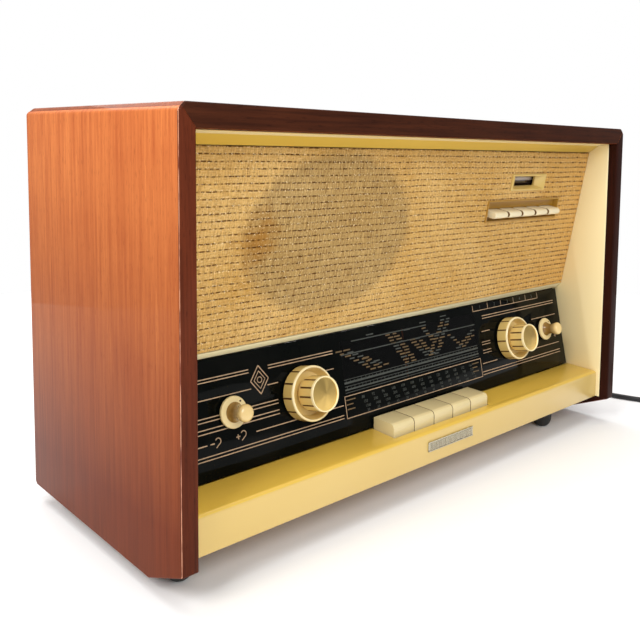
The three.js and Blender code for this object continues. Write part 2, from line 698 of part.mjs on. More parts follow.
// From the strain relief down to the table, round the cabinet's right side and forward to the coil.
const CORD_ROUTE = [
  [200, 148.3, 56], [200, 154, 56], [200, 160, 56], [200.3, 169.2, 54.2], [201, 177, 49], [202, 182.2, 41],
  [203.5, 184.5, 32], [206.5, 185.5, 22], [212, 186, 13], [221, 186, 6.5], [233, 185.5, 3.6],
  [248, 185, CORD_LAY], [266, 184, CORD_LAY], [284, 180, CORD_LAY], [301, 171.5, CORD_LAY],
  [316, 158.5, CORD_LAY], [328, 141, CORD_LAY], [336.5, 120, CORD_LAY], [342, 97, CORD_LAY],
  [346, 72, CORD_LAY], [349, 46, CORD_LAY], [351, 20, CORD_LAY], [352.5, -6, CORD_LAY],
  [354.5, -32, CORD_LAY], [357.5, -58, CORD_LAY], [362.5, -84, CORD_LAY], [370, -109, CORD_LAY],
  [379, -132, CORD_LAY], [384.2, -144.2, CORD_LAY],
];

// The coil: two layers wound in and back out, its turns a cord's width apart.
const COIL_CENTRE = [430, -148];
const COIL_MEAN_RADIUS = 31;
const COIL_HALF_SPAN = 8.75; // from the mean radius to the outermost turn's middle
const LEAVE_ANGLE = THREE.MathUtils.degToRad(-65.1);
const LEAVE_HEADING = [Math.cos(LEAVE_ANGLE + Math.PI / 2), Math.sin(LEAVE_ANGLE + Math.PI / 2)];
const TAIL_START = 22; // along the heading from where the last turn lets go
const TAIL_END = 34;
const TAIL_HEIGHT = CORD_LAY + 2 * CORD_RADIUS;

function cordTube(points) {
  const curve = new THREE.CatmullRomCurve3(points.map((point) => new THREE.Vector3(...point)));
  const section = new THREE.Shape();
  section.absarc(0, 0, CORD_RADIUS, 0, Math.PI * 2, false);
  const steps = Math.max(2, Math.round(curve.getLength() / 13));
  return new THREE.ExtrudeGeometry(section, { extrudePath: curve, steps, curveSegments: 4, bevelEnabled: false });
}

function cordCoil() {
  const inner = COIL_MEAN_RADIUS - COIL_HALF_SPAN - CORD_RADIUS;
  const outer = COIL_MEAN_RADIUS + COIL_HALF_SPAN + CORD_RADIUS;
  const top = GAP + 4 * CORD_RADIUS;
  return sleeve(inner, outer, GAP, top, 32).translate(...COIL_CENTRE, 0);
}

// A point that far along the straight line on which the cord leaves the coil.
function tailPoint(along) {
  const radius = COIL_MEAN_RADIUS + COIL_HALF_SPAN;
  return [
    COIL_CENTRE[0] + radius * Math.cos(LEAVE_ANGLE) + along * LEAVE_HEADING[0],
    COIL_CENTRE[1] + radius * Math.sin(LEAVE_ANGLE) + along * LEAVE_HEADING[1],
    TAIL_HEIGHT,
  ];
}

function strainRelief() {
  const flange = REAR_COVER_REAR + GAP;
  const profile = [
    [0, 109], [6.2, 109], [6.2, flange], [9, flange], [9, flange + 2.2], [5.6, flange + 3.2], [3.8, RELIEF_TIP],
    [0, RELIEF_TIP],
  ];
  return layAlongY(turned(profile, 16)).translate(CORD_EXIT_X, 0, CORD_EXIT_Z);
}

const PLUG_HALF_HEIGHT = 8.4;
const PIN_SPACING = 19;

// A flat two-pin plug; its cord end is at the origin and its pins point along +X.
function mainsPlug() {
  const outline = polygon([[0, -4.5], [8, -6], [13, -15], [34, -13], [34, 13], [13, 15], [8, 6], [0, 4.5]]);
  const body = slab(outline, -PLUG_HALF_HEIGHT, PLUG_HALF_HEIGHT);
  const pins = [-1, 1].map((side) => layAlongX(rod(2.4, 30, 53, 10)).translate(0, (side * PIN_SPACING) / 2, 0));
  return join(body, ...pins);
}

add(radio, 'strain_relief', strainRelief(), RUBBER);
add(radio, 'mains_cord', cordTube(CORD_ROUTE), CORD_PLASTIC);
add(radio, 'cord_coil', cordCoil(), CORD_PLASTIC);
add(radio, 'cord_tail', cordTube([tailPoint(TAIL_START), tailPoint(TAIL_END)]), CORD_PLASTIC);
const plug = add(radio, 'mains_plug', mainsPlug(), RUBBER);
plug.position.set(...tailPoint(TAIL_END + GAP));
plug.rotation.z = LEAVE_ANGLE + Math.PI / 2;

export default radio;
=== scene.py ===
"""A table-top valve radio of about 1960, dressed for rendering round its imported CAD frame.

Metres. +X is the listener's right, +Y the rear, +Z up; the table is z = 0.
"""

import json
import math
import random

import bmesh
import bpy
from mathutils import Matrix, Vector


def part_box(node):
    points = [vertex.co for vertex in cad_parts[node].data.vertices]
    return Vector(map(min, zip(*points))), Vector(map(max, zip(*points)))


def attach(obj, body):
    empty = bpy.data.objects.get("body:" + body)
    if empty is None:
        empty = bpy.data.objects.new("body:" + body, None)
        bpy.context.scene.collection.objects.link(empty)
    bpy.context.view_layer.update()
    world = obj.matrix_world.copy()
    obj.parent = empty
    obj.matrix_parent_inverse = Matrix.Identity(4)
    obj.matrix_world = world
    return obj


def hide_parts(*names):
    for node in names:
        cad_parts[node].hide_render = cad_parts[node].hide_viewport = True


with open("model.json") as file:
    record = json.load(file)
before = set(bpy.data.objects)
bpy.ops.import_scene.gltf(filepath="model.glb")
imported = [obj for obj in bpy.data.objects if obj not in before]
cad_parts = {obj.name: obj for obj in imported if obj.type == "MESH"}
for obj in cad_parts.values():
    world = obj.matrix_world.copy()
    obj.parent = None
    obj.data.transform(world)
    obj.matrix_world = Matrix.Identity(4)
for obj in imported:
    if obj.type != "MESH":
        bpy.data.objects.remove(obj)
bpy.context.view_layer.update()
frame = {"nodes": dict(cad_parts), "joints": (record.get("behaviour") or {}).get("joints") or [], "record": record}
nodes = frame["nodes"]
joints = {joint["name"]: joint for joint in frame["joints"]}
MM = 0.001



def link(obj):
    bpy.context.scene.collection.objects.link(obj)


# ---- camera
CAMERA_PLACE = Vector((-0.5233, -0.5122, 0.2924))
CAMERA_YAW = math.radians(42.2)  # to the right of straight ahead
CAMERA_PITCH = math.radians(4.98)  # downwards
CAMERA_ROLL = math.radians(0.43)
CAMERA_LENS = 42.68
CAMERA_SHIFT_Y = -0.15


def make_camera():
    ahead = math.cos(CAMERA_PITCH)
    forward = Vector((math.sin(CAMERA_YAW) * ahead, math.cos(CAMERA_YAW) * ahead, -math.sin(CAMERA_PITCH)))
    level = Vector((math.cos(CAMERA_YAW), -math.sin(CAMERA_YAW), 0))
    upright = level.cross(forward)
    right = level * math.cos(CAMERA_ROLL) + upright * math.sin(CAMERA_ROLL)
    up = right.cross(forward)
    data = bpy.data.cameras.new("camera")
    data.lens = CAMERA_LENS
    data.shift_y = CAMERA_SHIFT_Y
    data.clip_start = 0.05
    data.clip_end = 20
    camera = bpy.data.objects.new("camera", data)
    turn = Matrix((right, up, -forward)).transposed().to_4x4()
    camera.matrix_world = Matrix.Translation(CAMERA_PLACE) @ turn
    link(camera)
    bpy.context.scene.camera = camera


make_camera()


# ---- node materials
class Shader:
    """A material with a Principled surface, and short ways to add and join nodes."""

    def __init__(self, name, **surface):
        self.material = bpy.data.materials.new(name)
        self.material.use_nodes = True
        self.tree = self.material.node_tree
        self.surface = self.tree.nodes["Principled BSDF"]
        self.finish(**surface)

    def put(self, node, values):
        for key, value in values.items():
            socket = node.inputs[key.replace("_", " ") if isinstance(key, str) else key]
            if isinstance(value, bpy.types.NodeSocket):
                self.tree.links.new(value, socket)
            elif isinstance(value, tuple) and len(value) == 3 and socket.type == "RGBA":
                socket.default_value = (*value, 1.0)
            else:
                socket.default_value = value

    def add(self, kind, values=None, output=0, **settings):
        node = self.tree.nodes.new("ShaderNode" + kind)
        for key, value in settings.items():
            setattr(node, key, value)
        self.put(node, values or {})
        return node.outputs[output]

    def place(self, scale=(1, 1, 1)):
        """Object coordinates, which are row coordinates at rest, stretched by scale."""
        here = self.add("TexCoord", output="Object")
        return self.add("Mapping", {"Vector": here, "Scale": scale})

    def noise(self, scale, detail=4.0, stretch=(1, 1, 1), roughness=0.5, distortion=0.0):
        settings = {"Vector": self.place(stretch), "Scale": scale, "Detail": detail}
        settings.update(Roughness=roughness, Distortion=distortion)
        return self.add("TexNoise", settings)

    def math(self, operation, a, b=0.0):
        return self.add("Math", {0: a, 1: b}, operation=operation)

    def times(self, a, b):
        return self.math("MULTIPLY", a, b)

    def plus(self, a, b):
        return self.math("ADD", a, b)

    def minus(self, a, b):
        return self.math("SUBTRACT", a, b)

    def between(self, value, low, high, to_low=0.0, to_high=1.0):
        """Carries one range of values onto another, and stops at its ends."""
        settings = {"Value": value, "From_Min": low, "From_Max": high, "To_Min": to_low, "To_Max": to_high}
        return self.add("MapRange", settings)

    def mix(self, share, a, b):
        node = self.tree.nodes.new("ShaderNodeMix")
        node.data_type = "RGBA"
        for index, value in ((0, share), (6, a), (7, b)):
            socket = node.inputs[index]
            if isinstance(value, bpy.types.NodeSocket):
                self.tree.links.new(value, socket)
            else:
                socket.default_value = (*value, 1.0) if isinstance(value, tuple) else value
        return node.outputs[2]

    def bump(self, height, distance, strength=1.0):
        normal = self.add("Bump", {"Height": height, "Distance": distance, "Strength": strength})
        self.finish(Normal=normal)

    def finish(self, **surface):
        """Sets sockets of the Principled surface, or links them."""
        self.put(self.surface, surface)

    def axis(self, index):
        """One row coordinate, in metres."""
        split = self.tree.nodes.new("ShaderNodeSeparateXYZ")
        self.tree.links.new(self.add("TexCoord", output="Object"), split.inputs[0])
        return split.outputs[index]


def srgb(red, green, blue):
    """A colour as read off a screen, 0 to 255, in the linear values that shaders take."""
    return tuple(
        value / 12.92 if value <= 0.04045 else ((value + 0.055) / 1.055) ** 2.4
        for value in (red / 255, green / 255, blue / 255)
    )


# ---- pieces
def piece(name, mesh, materials, body, replaces=(), at=None):
    """Puts a mesh in the scene as a named piece that rides a CAD body."""
    obj = bpy.data.objects.new(name, mesh)
    link(obj)
    for material in materials if isinstance(materials, (list, tuple)) else [materials]:
        mesh.materials.append(material)
    if at is not None:
        obj.matrix_world = at
    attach(obj, body)
    if replaces:
        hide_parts(*([replaces] if isinstance(replaces, str) else replaces))
    return obj


def mesh_of(work, name, sharp_above=35):
    """Ends the work on a shape as a smooth-shaded mesh, with its edges above an angle kept sharp."""
    bmesh.ops.recalc_face_normals(work, faces=work.faces)
    mesh = bpy.data.meshes.new(name)
    work.to_mesh(mesh)
    work.free()
    mesh.polygons.foreach_set("use_smooth", [True] * len(mesh.polygons))
    mesh.set_sharp_from_angle(angle=math.radians(sharp_above))
    mesh.update()
    return mesh


def weld(work, distance=1e-7):
    bmesh.ops.remove_doubles(work, verts=work.verts, dist=distance)


def rounded(work, radius, segments=3, above=30, chosen=None):
    """Rounds the edges whose faces meet at more than an angle; given chosen(), only those of them that it picks.
    """
    work.edges.ensure_lookup_table()
    edges = [
        edge
        for edge in work.edges
        if len(edge.link_faces) == 2
        and edge.calc_face_angle(0) > math.radians(above)
        and (chosen is None or chosen(edge))
    ]
    bmesh.ops.bevel(work, geom=edges, offset=radius, segments=segments, profile=0.5, affect="EDGES",
                    clamp_overlap=True)


def lathe(profile, segments=64, work=None):
    """A piece turned round +Z from (radius, z) points in millimetres; points on the axis close it."""
    work = work or bmesh.new()
    rings = []
    for radius, z in profile:
        angles = [math.tau * i / segments for i in range(segments if radius else 1)]
        reach = radius * MM
        rings.append([work.verts.new((reach * math.cos(a), reach * math.sin(a), z * MM)) for a in angles])
    for lower, upper in zip(rings, rings[1:]):
        for i in range(segments):
            j = (i + 1) % segments
            corners = [ring[k % len(ring)] for ring, k in ((lower, i), (lower, j), (upper, j), (upper, i))]
            face = list(dict.fromkeys(corners))
            if len(face) > 2:
                work.faces.new(face)
    return work


def box_work(low, high, work=None):
    """A box between two corners, on its own or added to other work."""
    work = work or bmesh.new()
    size = [b - a for a, b in zip(low, high)]
    centre = [(a + b) / 2 for a, b in zip(low, high)]
    made = bmesh.ops.create_cube(work, size=1)
    bmesh.ops.scale(work, vec=size, verts=made["verts"])
    bmesh.ops.translate(work, vec=centre, verts=made["verts"])
    return work


def arc(centre, radius, start, end, steps=6):
    """Points round a centre, from one angle to another in degrees."""
    angles = [math.radians(start + (end - start) * i / steps) for i in range(steps + 1)]
    return [(centre[0] + radius * math.cos(a), centre[1] + radius * math.sin(a)) for a in angles]


# ---- sizes worked out from the frame
class Plane:
    """The leaning plane of a CAD node's front face: x along the radio, up along the plane, out of it."""

    def __init__(self, node, out):
        self.out = Vector(out).normalized()
        self.right = Vector((1, 0, 0))
        self.up = self.out.cross(self.right)
        corners = [vertex.co for vertex in nodes[node].data.vertices]
        highest_out = max(corner.dot(self.out) for corner in corners)
        lowest_up = min(corner.dot(self.up) for corner in corners)
        self.height = max(corner.dot(self.up) for corner in corners) - lowest_up
        self.foot = self.out * highest_out + self.up * lowest_up

    def point(self, x, up, out=0.0):
        return self.foot + self.right * x + self.up * up + self.out * out

    def matrix(self, x=0.0, up=0.0, out=0.0):
        turn = Matrix((self.right, self.up, self.out)).transposed().to_4x4()
        return Matrix.Translation(self.point(x, up, out)) @ turn

    def local(self, point):
        away = Vector(point) - self.foot
        return away.dot(self.right), away.dot(self.up), away.dot(self.out)


panel_low, panel_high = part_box("side_panel_left")
top_low, top_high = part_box("top_panel")
HALF = -panel_low.x
INNER_HALF = -panel_high.x
FRONT = panel_low.y
REAR = panel_high.y
FEET_GAP = panel_low.z
TOP = top_high.z
INNER_TOP = top_low.z
GAP = 0.3 * MM
DIAL = Plane("dial_glass", joints["tuning_turn"]["axis"])
GRILLE = Plane("grille_cloth", [-value for value in joints["register_1_press"]["axis"]])

BODY = {node: body for body, members in frame["record"]["behaviour"]["bodies"].items() for node in members}


def middle(node):
    low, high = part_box(node)
    return (low + high) / 2


def cad_work(node):
    """A CAD node's shape to work on, with the triangles of each flat face joined up."""
    work = bmesh.new()
    work.from_mesh(nodes[node].data)
    weld(work, 1e-6)
    bmesh.ops.dissolve_limit(work, angle_limit=math.radians(1), verts=work.verts, edges=work.edges)
    return work


def softened(node, radius, material, segments=2, above=30):
    """A copy of a CAD node with its hard edges rounded."""
    work = cad_work(node)
    rounded(work, radius, segments, above)
    return piece(node + "_shell", mesh_of(work, node), material, BODY[node], node)


def repaint(obj, material, chosen):
    """Gives the faces that chosen() picks a further material."""
    obj.data.materials.append(material)
    for face in obj.data.polygons:
        if chosen(face):
            face.material_index = len(obj.data.materials) - 1


def finish_node(node, material):
    """Gives a CAD node that stays as it is a better material."""
    mesh = nodes[node].data
    mesh.materials.clear()
    mesh.materials.append(material)


# ---- mains cord
CORD_RADIUS = 2.8 * MM
CORD_LAY = CORD_RADIUS + GAP
CORD_EXIT = Vector((200, 148, 56)) * MM

# From the strain relief down to the table, round the cabinet's right side and forward to the coil.
CORD_ROUTE = [
    (200, 148.3, 56), (200, 154, 56), (200, 160, 56), (200.3, 169.2, 54.2), (201, 177, 49),
    (202, 182.2, 41), (203.5, 184.5, 32), (206.5, 185.5, 22), (212, 186, 13), (221, 186, 6.5),
    (233, 185.5, 3.6), (248, 185, 3.1), (266, 184, 3.1), (284, 180, 3.1), (301, 171.5, 3.1),
    (316, 158.5, 3.1), (328, 141, 3.1), (336.5, 120, 3.1), (342, 97, 3.1), (346, 72, 3.1),
    (349, 46, 3.1), (351, 20, 3.1), (352.5, -6, 3.1), (354.5, -32, 3.1), (357.5, -58, 3.1),
    (362.5, -84, 3.1), (370, -109, 3.1), (379, -132, 3.1), (384.2, -144.2, 3.1),
]
COIL_CENTRE = Vector((430, -148, 0)) * MM
COIL_MEAN_RADIUS = 31 * MM
COIL_HALF_SPAN = 8.75 * MM
COIL_TURNS = 7
COIL_START = math.radians(202.3)
COIL_END = math.radians(-65.1)
TAIL_LENGTH = 34 * MM
POINTS_A_TURN = 16


def coil_points():
    """Two layers of turns: wound inwards on the table, then back outwards on top of them."""
    sweep = math.tau * COIL_TURNS + COIL_END - COIL_START
    count = round(sweep / math.tau * POINTS_A_TURN)
    upper = CORD_LAY + 2 * CORD_RADIUS
    points = []
    for i in range(count + 1):
        share = i / count
        angle = COIL_START + sweep * share
        inward = 1 - abs(2 * share - 1)
        radius = COIL_MEAN_RADIUS + COIL_HALF_SPAN * (1 - 2 * inward)
        climb = min(max((share - 0.5) * 12 + 0.5, 0), 1)
        height = CORD_LAY + (upper - CORD_LAY) * climb * climb * (3 - 2 * climb)
        away = Vector((math.cos(angle), math.sin(angle), 0)) * radius
        points.append(COIL_CENTRE + away + Vector((0, 0, height)))
    return points


def cord_points():
    coil = coil_points()
    heading = Vector((-math.sin(COIL_END), math.cos(COIL_END), 0))
    tail = [coil[-1] + heading * TAIL_LENGTH * share for share in (0.33, 0.66, 1.0)]
    return [Vector(point) * MM for point in CORD_ROUTE] + coil + tail


def make_cord(material):
    curve = bpy.data.curves.new("mains_lead", "CURVE")
    curve.dimensions = "3D"
    curve.bevel_depth = CORD_RADIUS
    curve.bevel_resolution = 4
    curve.resolution_u = 6
    curve.use_fill_caps = True
    points = cord_points()
    spline = curve.splines.new("BEZIER")
    spline.bezier_points.add(len(points) - 1)
    for bezier, point in zip(spline.bezier_points, points):
        bezier.co = point
        bezier.handle_left_type = bezier.handle_right_type = "AUTO"
    curve.materials.append(material)
    lead = bpy.data.objects.new("mains_lead", curve)
    link(lead)
    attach(lead, "cabinet")
    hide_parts("mains_cord", "cord_coil", "cord_tail")
    return lead


# ---- floor and light
FLOOR_RADIUS = 1.1
WORLD_FILL = 0.36  # the white room's share of the light; seen directly, it is plain white


def make_floor():
    work = bmesh.new()
    bmesh.ops.create_circle(work, cap_ends=True, segments=96, radius=FLOOR_RADIUS)
    floor = bpy.data.objects.new("floor", mesh_of(work, "floor"))
    shader = Shader("floor_paper", Roughness=0.9)
    tint = shader.mix(shader.noise(3.0), srgb(243, 243, 242), srgb(250, 250, 249))
    shader.finish(Base_Color=tint)
    floor.data.materials.append(shader.material)
    link(floor)


def soft_light(name, place, target, size, power):
    data = bpy.data.lights.new(name, "AREA")
    data.shape = "RECTANGLE"
    data.size, data.size_y = size
    data.energy = power
    lamp = bpy.data.objects.new(name, data)
    aim = (Vector(target) - Vector(place)).to_track_quat("-Z", "Y").to_matrix().to_4x4()
    lamp.matrix_world = Matrix.Translation(place) @ aim
    link(lamp)


def make_studio():
    make_floor()
    bpy.context.scene.view_settings.view_transform = "Standard"
    world = bpy.data.worlds.new("studio")
    world.use_nodes = True
    tree = world.node_tree
    background = tree.nodes["Background"]
    background.inputs["Color"].default_value = (1, 1, 1, 1)
    sight = tree.nodes.new("ShaderNodeLightPath")
    strength = tree.nodes.new("ShaderNodeMapRange")
    strength.inputs["To Min"].default_value = WORLD_FILL
    tree.links.new(sight.outputs["Is Camera Ray"], strength.inputs["Value"])
    tree.links.new(strength.outputs["Result"], background.inputs["Strength"])
    bpy.context.scene.world = world
    heart = (0, 0, 0.16)
    soft_light("key_light", (-0.6, -1.7, 1.3), heart, (1.4, 1.0), 24)
    soft_light("side_light", (-1.7, -0.4, 1.5), heart, (1.0, 0.8), 24)
    soft_light("top_light", (0.3, 0.1, 2.2), heart, (1.6, 1.6), 24)
    soft_light("back_light", (-0.2, 1.7, 1.7), (0, 0.7, 0), (1.6, 0.8), 26)


# ---- materials
def wood(name, along, light, dark, painted_shade_from=0.0, painted_shade_to=0.0):
    """Lacquered mahogany: fine streaks and pores along one axis, broad figure, and, between two heights if given,
    painted shade that darkens it towards the foot.
    """
    shader = Shader(name, Roughness=0.5, Coat_Weight=0.13, Coat_Roughness=0.04, Coat_IOR=1.28,
                    Specular_IOR_Level=0.05)

    def grain(lengthwise, crosswise):
        return tuple(lengthwise if i == along else crosswise for i in range(3))

    streaks = shader.between(shader.noise(1.0, 5, grain(12, 330), 0.6, 0.3), 0.2, 0.8)
    bands = shader.between(shader.noise(1.0, 3, grain(1.6, 20), 0.5, 0.8), 0.3, 0.7)
    waves = shader.between(shader.noise(1.0, 2, grain(16, 5), 0.5, 0.5), 0.35, 0.65)
    pore = shader.between(shader.noise(1.0, 2, grain(130, 900), 0.5), 0.58, 0.72)
    pore_and_painted_shade_dark = tuple(value * 0.45 for value in dark)
    tone = shader.mix(streaks, dark, light)
    tone = shader.mix(shader.times(bands, 0.6), tone, dark)
    tone = shader.mix(shader.times(waves, 0.18), tone, light)
    tone = shader.mix(shader.times(pore, 0.35), tone, pore_and_painted_shade_dark)
    # painted shade: the wood darkens towards its foot, fully dark below the lower height
    if painted_shade_to > painted_shade_from:
        painted_shade_toward_foot = shader.between(shader.axis(2), painted_shade_from, painted_shade_to, 1.0, 0.0)
        painted_shade_deepest = tuple(value * 0.25 for value in dark)
        tone = shader.mix(painted_shade_toward_foot, tone, shader.mix(streaks, painted_shade_deepest, pore_and_painted_shade_dark))
    shader.finish(Base_Color=tone)
    shader.bump(streaks, 0.00003, 0.15)
    return shader.material


def plastic(name, colour, second, roughness=0.3, coat=0.25):
    """Old moulded plastic: faint yellowed clouding under an even gloss."""
    shader = Shader(name, Coat_Weight=coat, Coat_Roughness=0.12, Roughness=roughness)
    cloud = shader.noise(9.0, 1)
    shader.finish(Base_Color=shader.mix(cloud, colour, second))
    return shader.material


def metal(name, colour, roughness, stretch=(1, 1, 1), scale=400.0):
    """Drawn or pressed metal with fine marks along its least-stretched axis."""
    shader = Shader(name, Metallic=1.0)
    marks = shader.noise(scale, 3, stretch)
    darker = tuple(value * 0.8 for value in colour)
    shader.finish(Base_Color=shader.mix(marks, colour, darker))
    uneven = shader.between(marks, 0.2, 0.8, roughness * 0.8, roughness * 1.3)
    shader.finish(Roughness=uneven)
    shader.bump(marks, 0.00002, 0.3)
    return shader.material


def spun_brass():
    """A lathe-turned face: rings round the piece's own axis, and the sheen that spreads from them."""
    shader = Shader("spun_brass", Metallic=1.0, Anisotropic=0.9, Roughness=0.28)
    here = shader.add("TexCoord", output="Object")
    from_axis = shader.add("VectorMath", {0: here, 1: (1.0, 1.0, 0.0)}, operation="MULTIPLY")
    radius = shader.add("VectorMath", {0: from_axis}, output="Value", operation="LENGTH")
    rings = shader.math("SINE", shader.times(radius, 16000.0))
    tangent = shader.add("Tangent", direction_type="RADIAL", axis="Z")
    tone = shader.mix(shader.between(rings, -1, 1), srgb(240, 208, 132), srgb(208, 168, 86))
    shader.finish(Base_Color=tone, Tangent=tangent)
    shader.bump(rings, 0.00001, 0.25)
    return shader.material


def cloth():
    """Gold weave with rows of dark slubs; where the loudspeaker is behind it, it looks greyer."""
    shader = Shader("grille_weave", Roughness=0.85, Specular_IOR_Level=0.1)
    x, up = shader.axis(0), shader.axis(1)

    def wander(noise, reach):
        return shader.times(shader.minus(noise, 0.5), reach)

    def off_centre(value):
        return shader.math("ABSOLUTE", shader.minus(shader.math("FRACT", value), 0.5))

    def sum_of_squares(a, b):
        return shader.plus(shader.times(a, a), shader.times(b, b))

    # rows of slubs: a thin broken line, each dash of its own length
    wobble = wander(shader.noise(16.0, 4, (1, 0.2, 1), 0.6), 2.6 * MM)
    row_place = shader.math("DIVIDE", shader.plus(up, wobble), ROW_PITCH)
    row = shader.math("FLOOR", row_place)
    from_line = off_centre(row_place)
    thickening = shader.between(x, 0.0, 0.24, 1.0, 0.62)
    line = shader.between(shader.times(from_line, thickening), 0.05, 0.14, 1.0, 0.0)
    jitter = shader.add("TexWhiteNoise", {"W": row}, noise_dimensions="1D")
    along = shader.plus(shader.math("DIVIDE", x, DASH_PITCH), shader.times(jitter, 9.0))
    cell = shader.plus(shader.math("FLOOR", along), shader.times(row, 57.3))
    luck = shader.add("TexWhiteNoise", {"W": cell}, noise_dimensions="1D")
    dash_end = shader.between(luck, 0, 1, 0.1, 0.5)
    dash = shader.between(shader.minus(dash_end, off_centre(along)), 0.0, 0.1)
    strength = shader.plus(shader.times(dash, shader.between(luck, 0, 1, 0.5, 0.75)), 0.2)
    dark = shader.times(line, strength)
    # the ground weave: warp threads, weft threads and single bright or dark picks
    threads = shader.between(shader.noise(1.0, 3, (950, 70, 1), 0.65), 0.36, 0.66)
    weft = shader.between(shader.noise(1.0, 2, (130, 1500, 1), 0.6), 0.45, 0.7)
    picks = shader.noise(1.0, 1, (760, 620, 1))
    patches = shader.between(shader.noise(14.0, 4), 0.32, 0.68)
    tone = shader.mix(patches, srgb(202, 156, 78), srgb(224, 184, 114))
    tone = shader.mix(shader.times(threads, 0.6), tone, srgb(148, 104, 48))
    tone = shader.mix(shader.times(weft, 0.4), tone, srgb(238, 208, 150))
    # greyer over the loudspeaker's oval, with a ragged edge
    oval_x = shader.math("DIVIDE", shader.minus(x, SPEAKER_X), SPEAKER_HALF_WIDTH)
    oval_up = shader.math("DIVIDE", shader.minus(up, SPEAKER_UP), SPEAKER_HALF_HEIGHT)
    ragged = shader.plus(sum_of_squares(oval_x, oval_up), wander(shader.noise(60.0, 3), 0.3))
    tone = shader.mix(shader.between(x, 0.1, 0.27, 0.0, 0.35), tone, srgb(204, 148, 62))
    behind = shader.between(ragged, 0.88, 1.14, 0.55, 0.0)
    tone = shader.mix(behind, tone, shader.mix(threads, srgb(176, 150, 100), srgb(98, 76, 46)))
    # an old brown stain at the oval's left
    stain_x = shader.minus(x, SPEAKER_X - 76 * MM)
    stain_up = shader.times(shader.minus(up, SPEAKER_UP), 0.75)
    stain_far = shader.math("SQRT", sum_of_squares(stain_x, stain_up))
    uneven = shader.plus(stain_far, wander(shader.noise(70.0, 3), 0.03))
    tone = shader.mix(shader.between(uneven, 0.004, 0.02, 0.65, 0.0), tone, srgb(158, 104, 26))
    tone = shader.mix(shader.between(picks, 0.4, 0.28, 0.0, 0.55), tone, srgb(96, 62, 30))
    tone = shader.mix(dark, tone, srgb(74, 34, 6))
    near_line = shader.between(from_line, 0.32, 0.14, 0.2, 1.0)
    bright = shader.times(shader.between(picks, 0.6, 0.72, 0.0, 0.8), near_line)
    tone = shader.mix(bright, tone, srgb(248, 228, 182))
    shader.finish(Base_Color=tone)
    height = shader.minus(shader.times(threads, 0.5), shader.times(line, 0.8))
    shader.bump(height, 0.0004, 0.6)
    return shader.material


def smoked_glass():
    shader = Shader("smoked_glass", Roughness=0.03, IOR=1.2, Transmission_Weight=1.0)
    haze = shader.between(shader.noise(30.0, 3), 0.3, 0.7)
    shader.finish(Base_Color=shader.mix(haze, srgb(112, 116, 112), srgb(126, 128, 124)))
    return shader.material


def painted_glass():
    """Glass painted black on its back: all that shows is a deep gloss and a little dust."""
    shader = Shader("painted_glass", IOR=1.16)
    dust = shader.between(shader.noise(26.0, 4), 0.35, 0.75)
    shader.finish(Base_Color=shader.mix(dust, srgb(4, 6, 5), srgb(14, 15, 13)))
    shader.finish(Roughness=shader.between(dust, 0, 1, 0.04, 0.12))
    return shader.material


def clear_glass(name, colour):
    shader = Shader(name, Roughness=0.04, IOR=1.45, Transmission_Weight=0.85)
    tint = shader.mix(shader.between(shader.noise(80.0, 3), 0.35, 0.65), colour, (0.9, 0.9, 0.86))
    shader.finish(Base_Color=tint)
    return shader.material


def ink(name, colour):
    """Printed ink, rubbed thin in places."""
    shader = Shader(name, Roughness=0.45)
    rubbed = shader.between(shader.noise(180.0, 4), 0.25, 0.75)
    faded = tuple(value * 0.55 for value in colour)
    shader.finish(Base_Color=shader.mix(rubbed, faded, colour))
    return shader.material


def fibre(name, light, dark, stretch, roughness=0.7, depth=0.0002):
    """Board, paper and other fibrous stuff."""
    shader = Shader(name, Roughness=roughness)
    fibres = shader.noise(1.0, 5, stretch, 0.65)
    shader.finish(Base_Color=shader.mix(shader.between(fibres, 0.3, 0.7), dark, light))
    shader.bump(fibres, depth, 0.4)
    return shader.material


def rubber(name, colour, roughness):
    shader = Shader(name, Specular_IOR_Level=0.4)
    bloom = shader.between(shader.noise(120.0, 4), 0.3, 0.7)
    paler = tuple(value * 1.7 + 0.004 for value in colour)
    shader.finish(Base_Color=shader.mix(bloom, colour, paler))
    shader.finish(Roughness=shader.between(bloom, 0, 1, roughness, roughness + 0.15))
    shader.bump(shader.noise(700.0, 2), 0.00005, 0.3)
    return shader.material


ROW_PITCH = 5.3 * MM
DASH_PITCH = 5.0 * MM
SPEAKER_X = middle("speaker_basket").x
SPEAKER_UP = GRILLE.local(middle("speaker_basket"))[1]
SPEAKER_HALF_WIDTH = 88 * MM
SPEAKER_HALF_HEIGHT = 65 * MM


# ---- cabinet
EDGE_EASED = 1.3 * MM
CORNER_PLANED = 5.0 * MM
TOP_RISE = 5.5 * MM  # the top is this much higher at the back than at the front
FRONT_DROP = 2.7 * MM  # and the sides reach this much lower at the front
FRONT_CUT = 20 * MM  # height of the slanting cut at the foot of a side's front edge
BAND_DEPTH = 2.0 * MM  # how far back the front edge's own veneer wraps


def in_band(face):
    """The front edges and the faces towards the grille carry the band wood, darker than the outside; on the right
    panel it is a further darkened copy, as painted shade.
    """
    inward = abs(face.center.x) < INNER_HALF + GAP and abs(face.normal.x) > 0.9
    return face.center.y < FRONT + BAND_DEPTH or inward


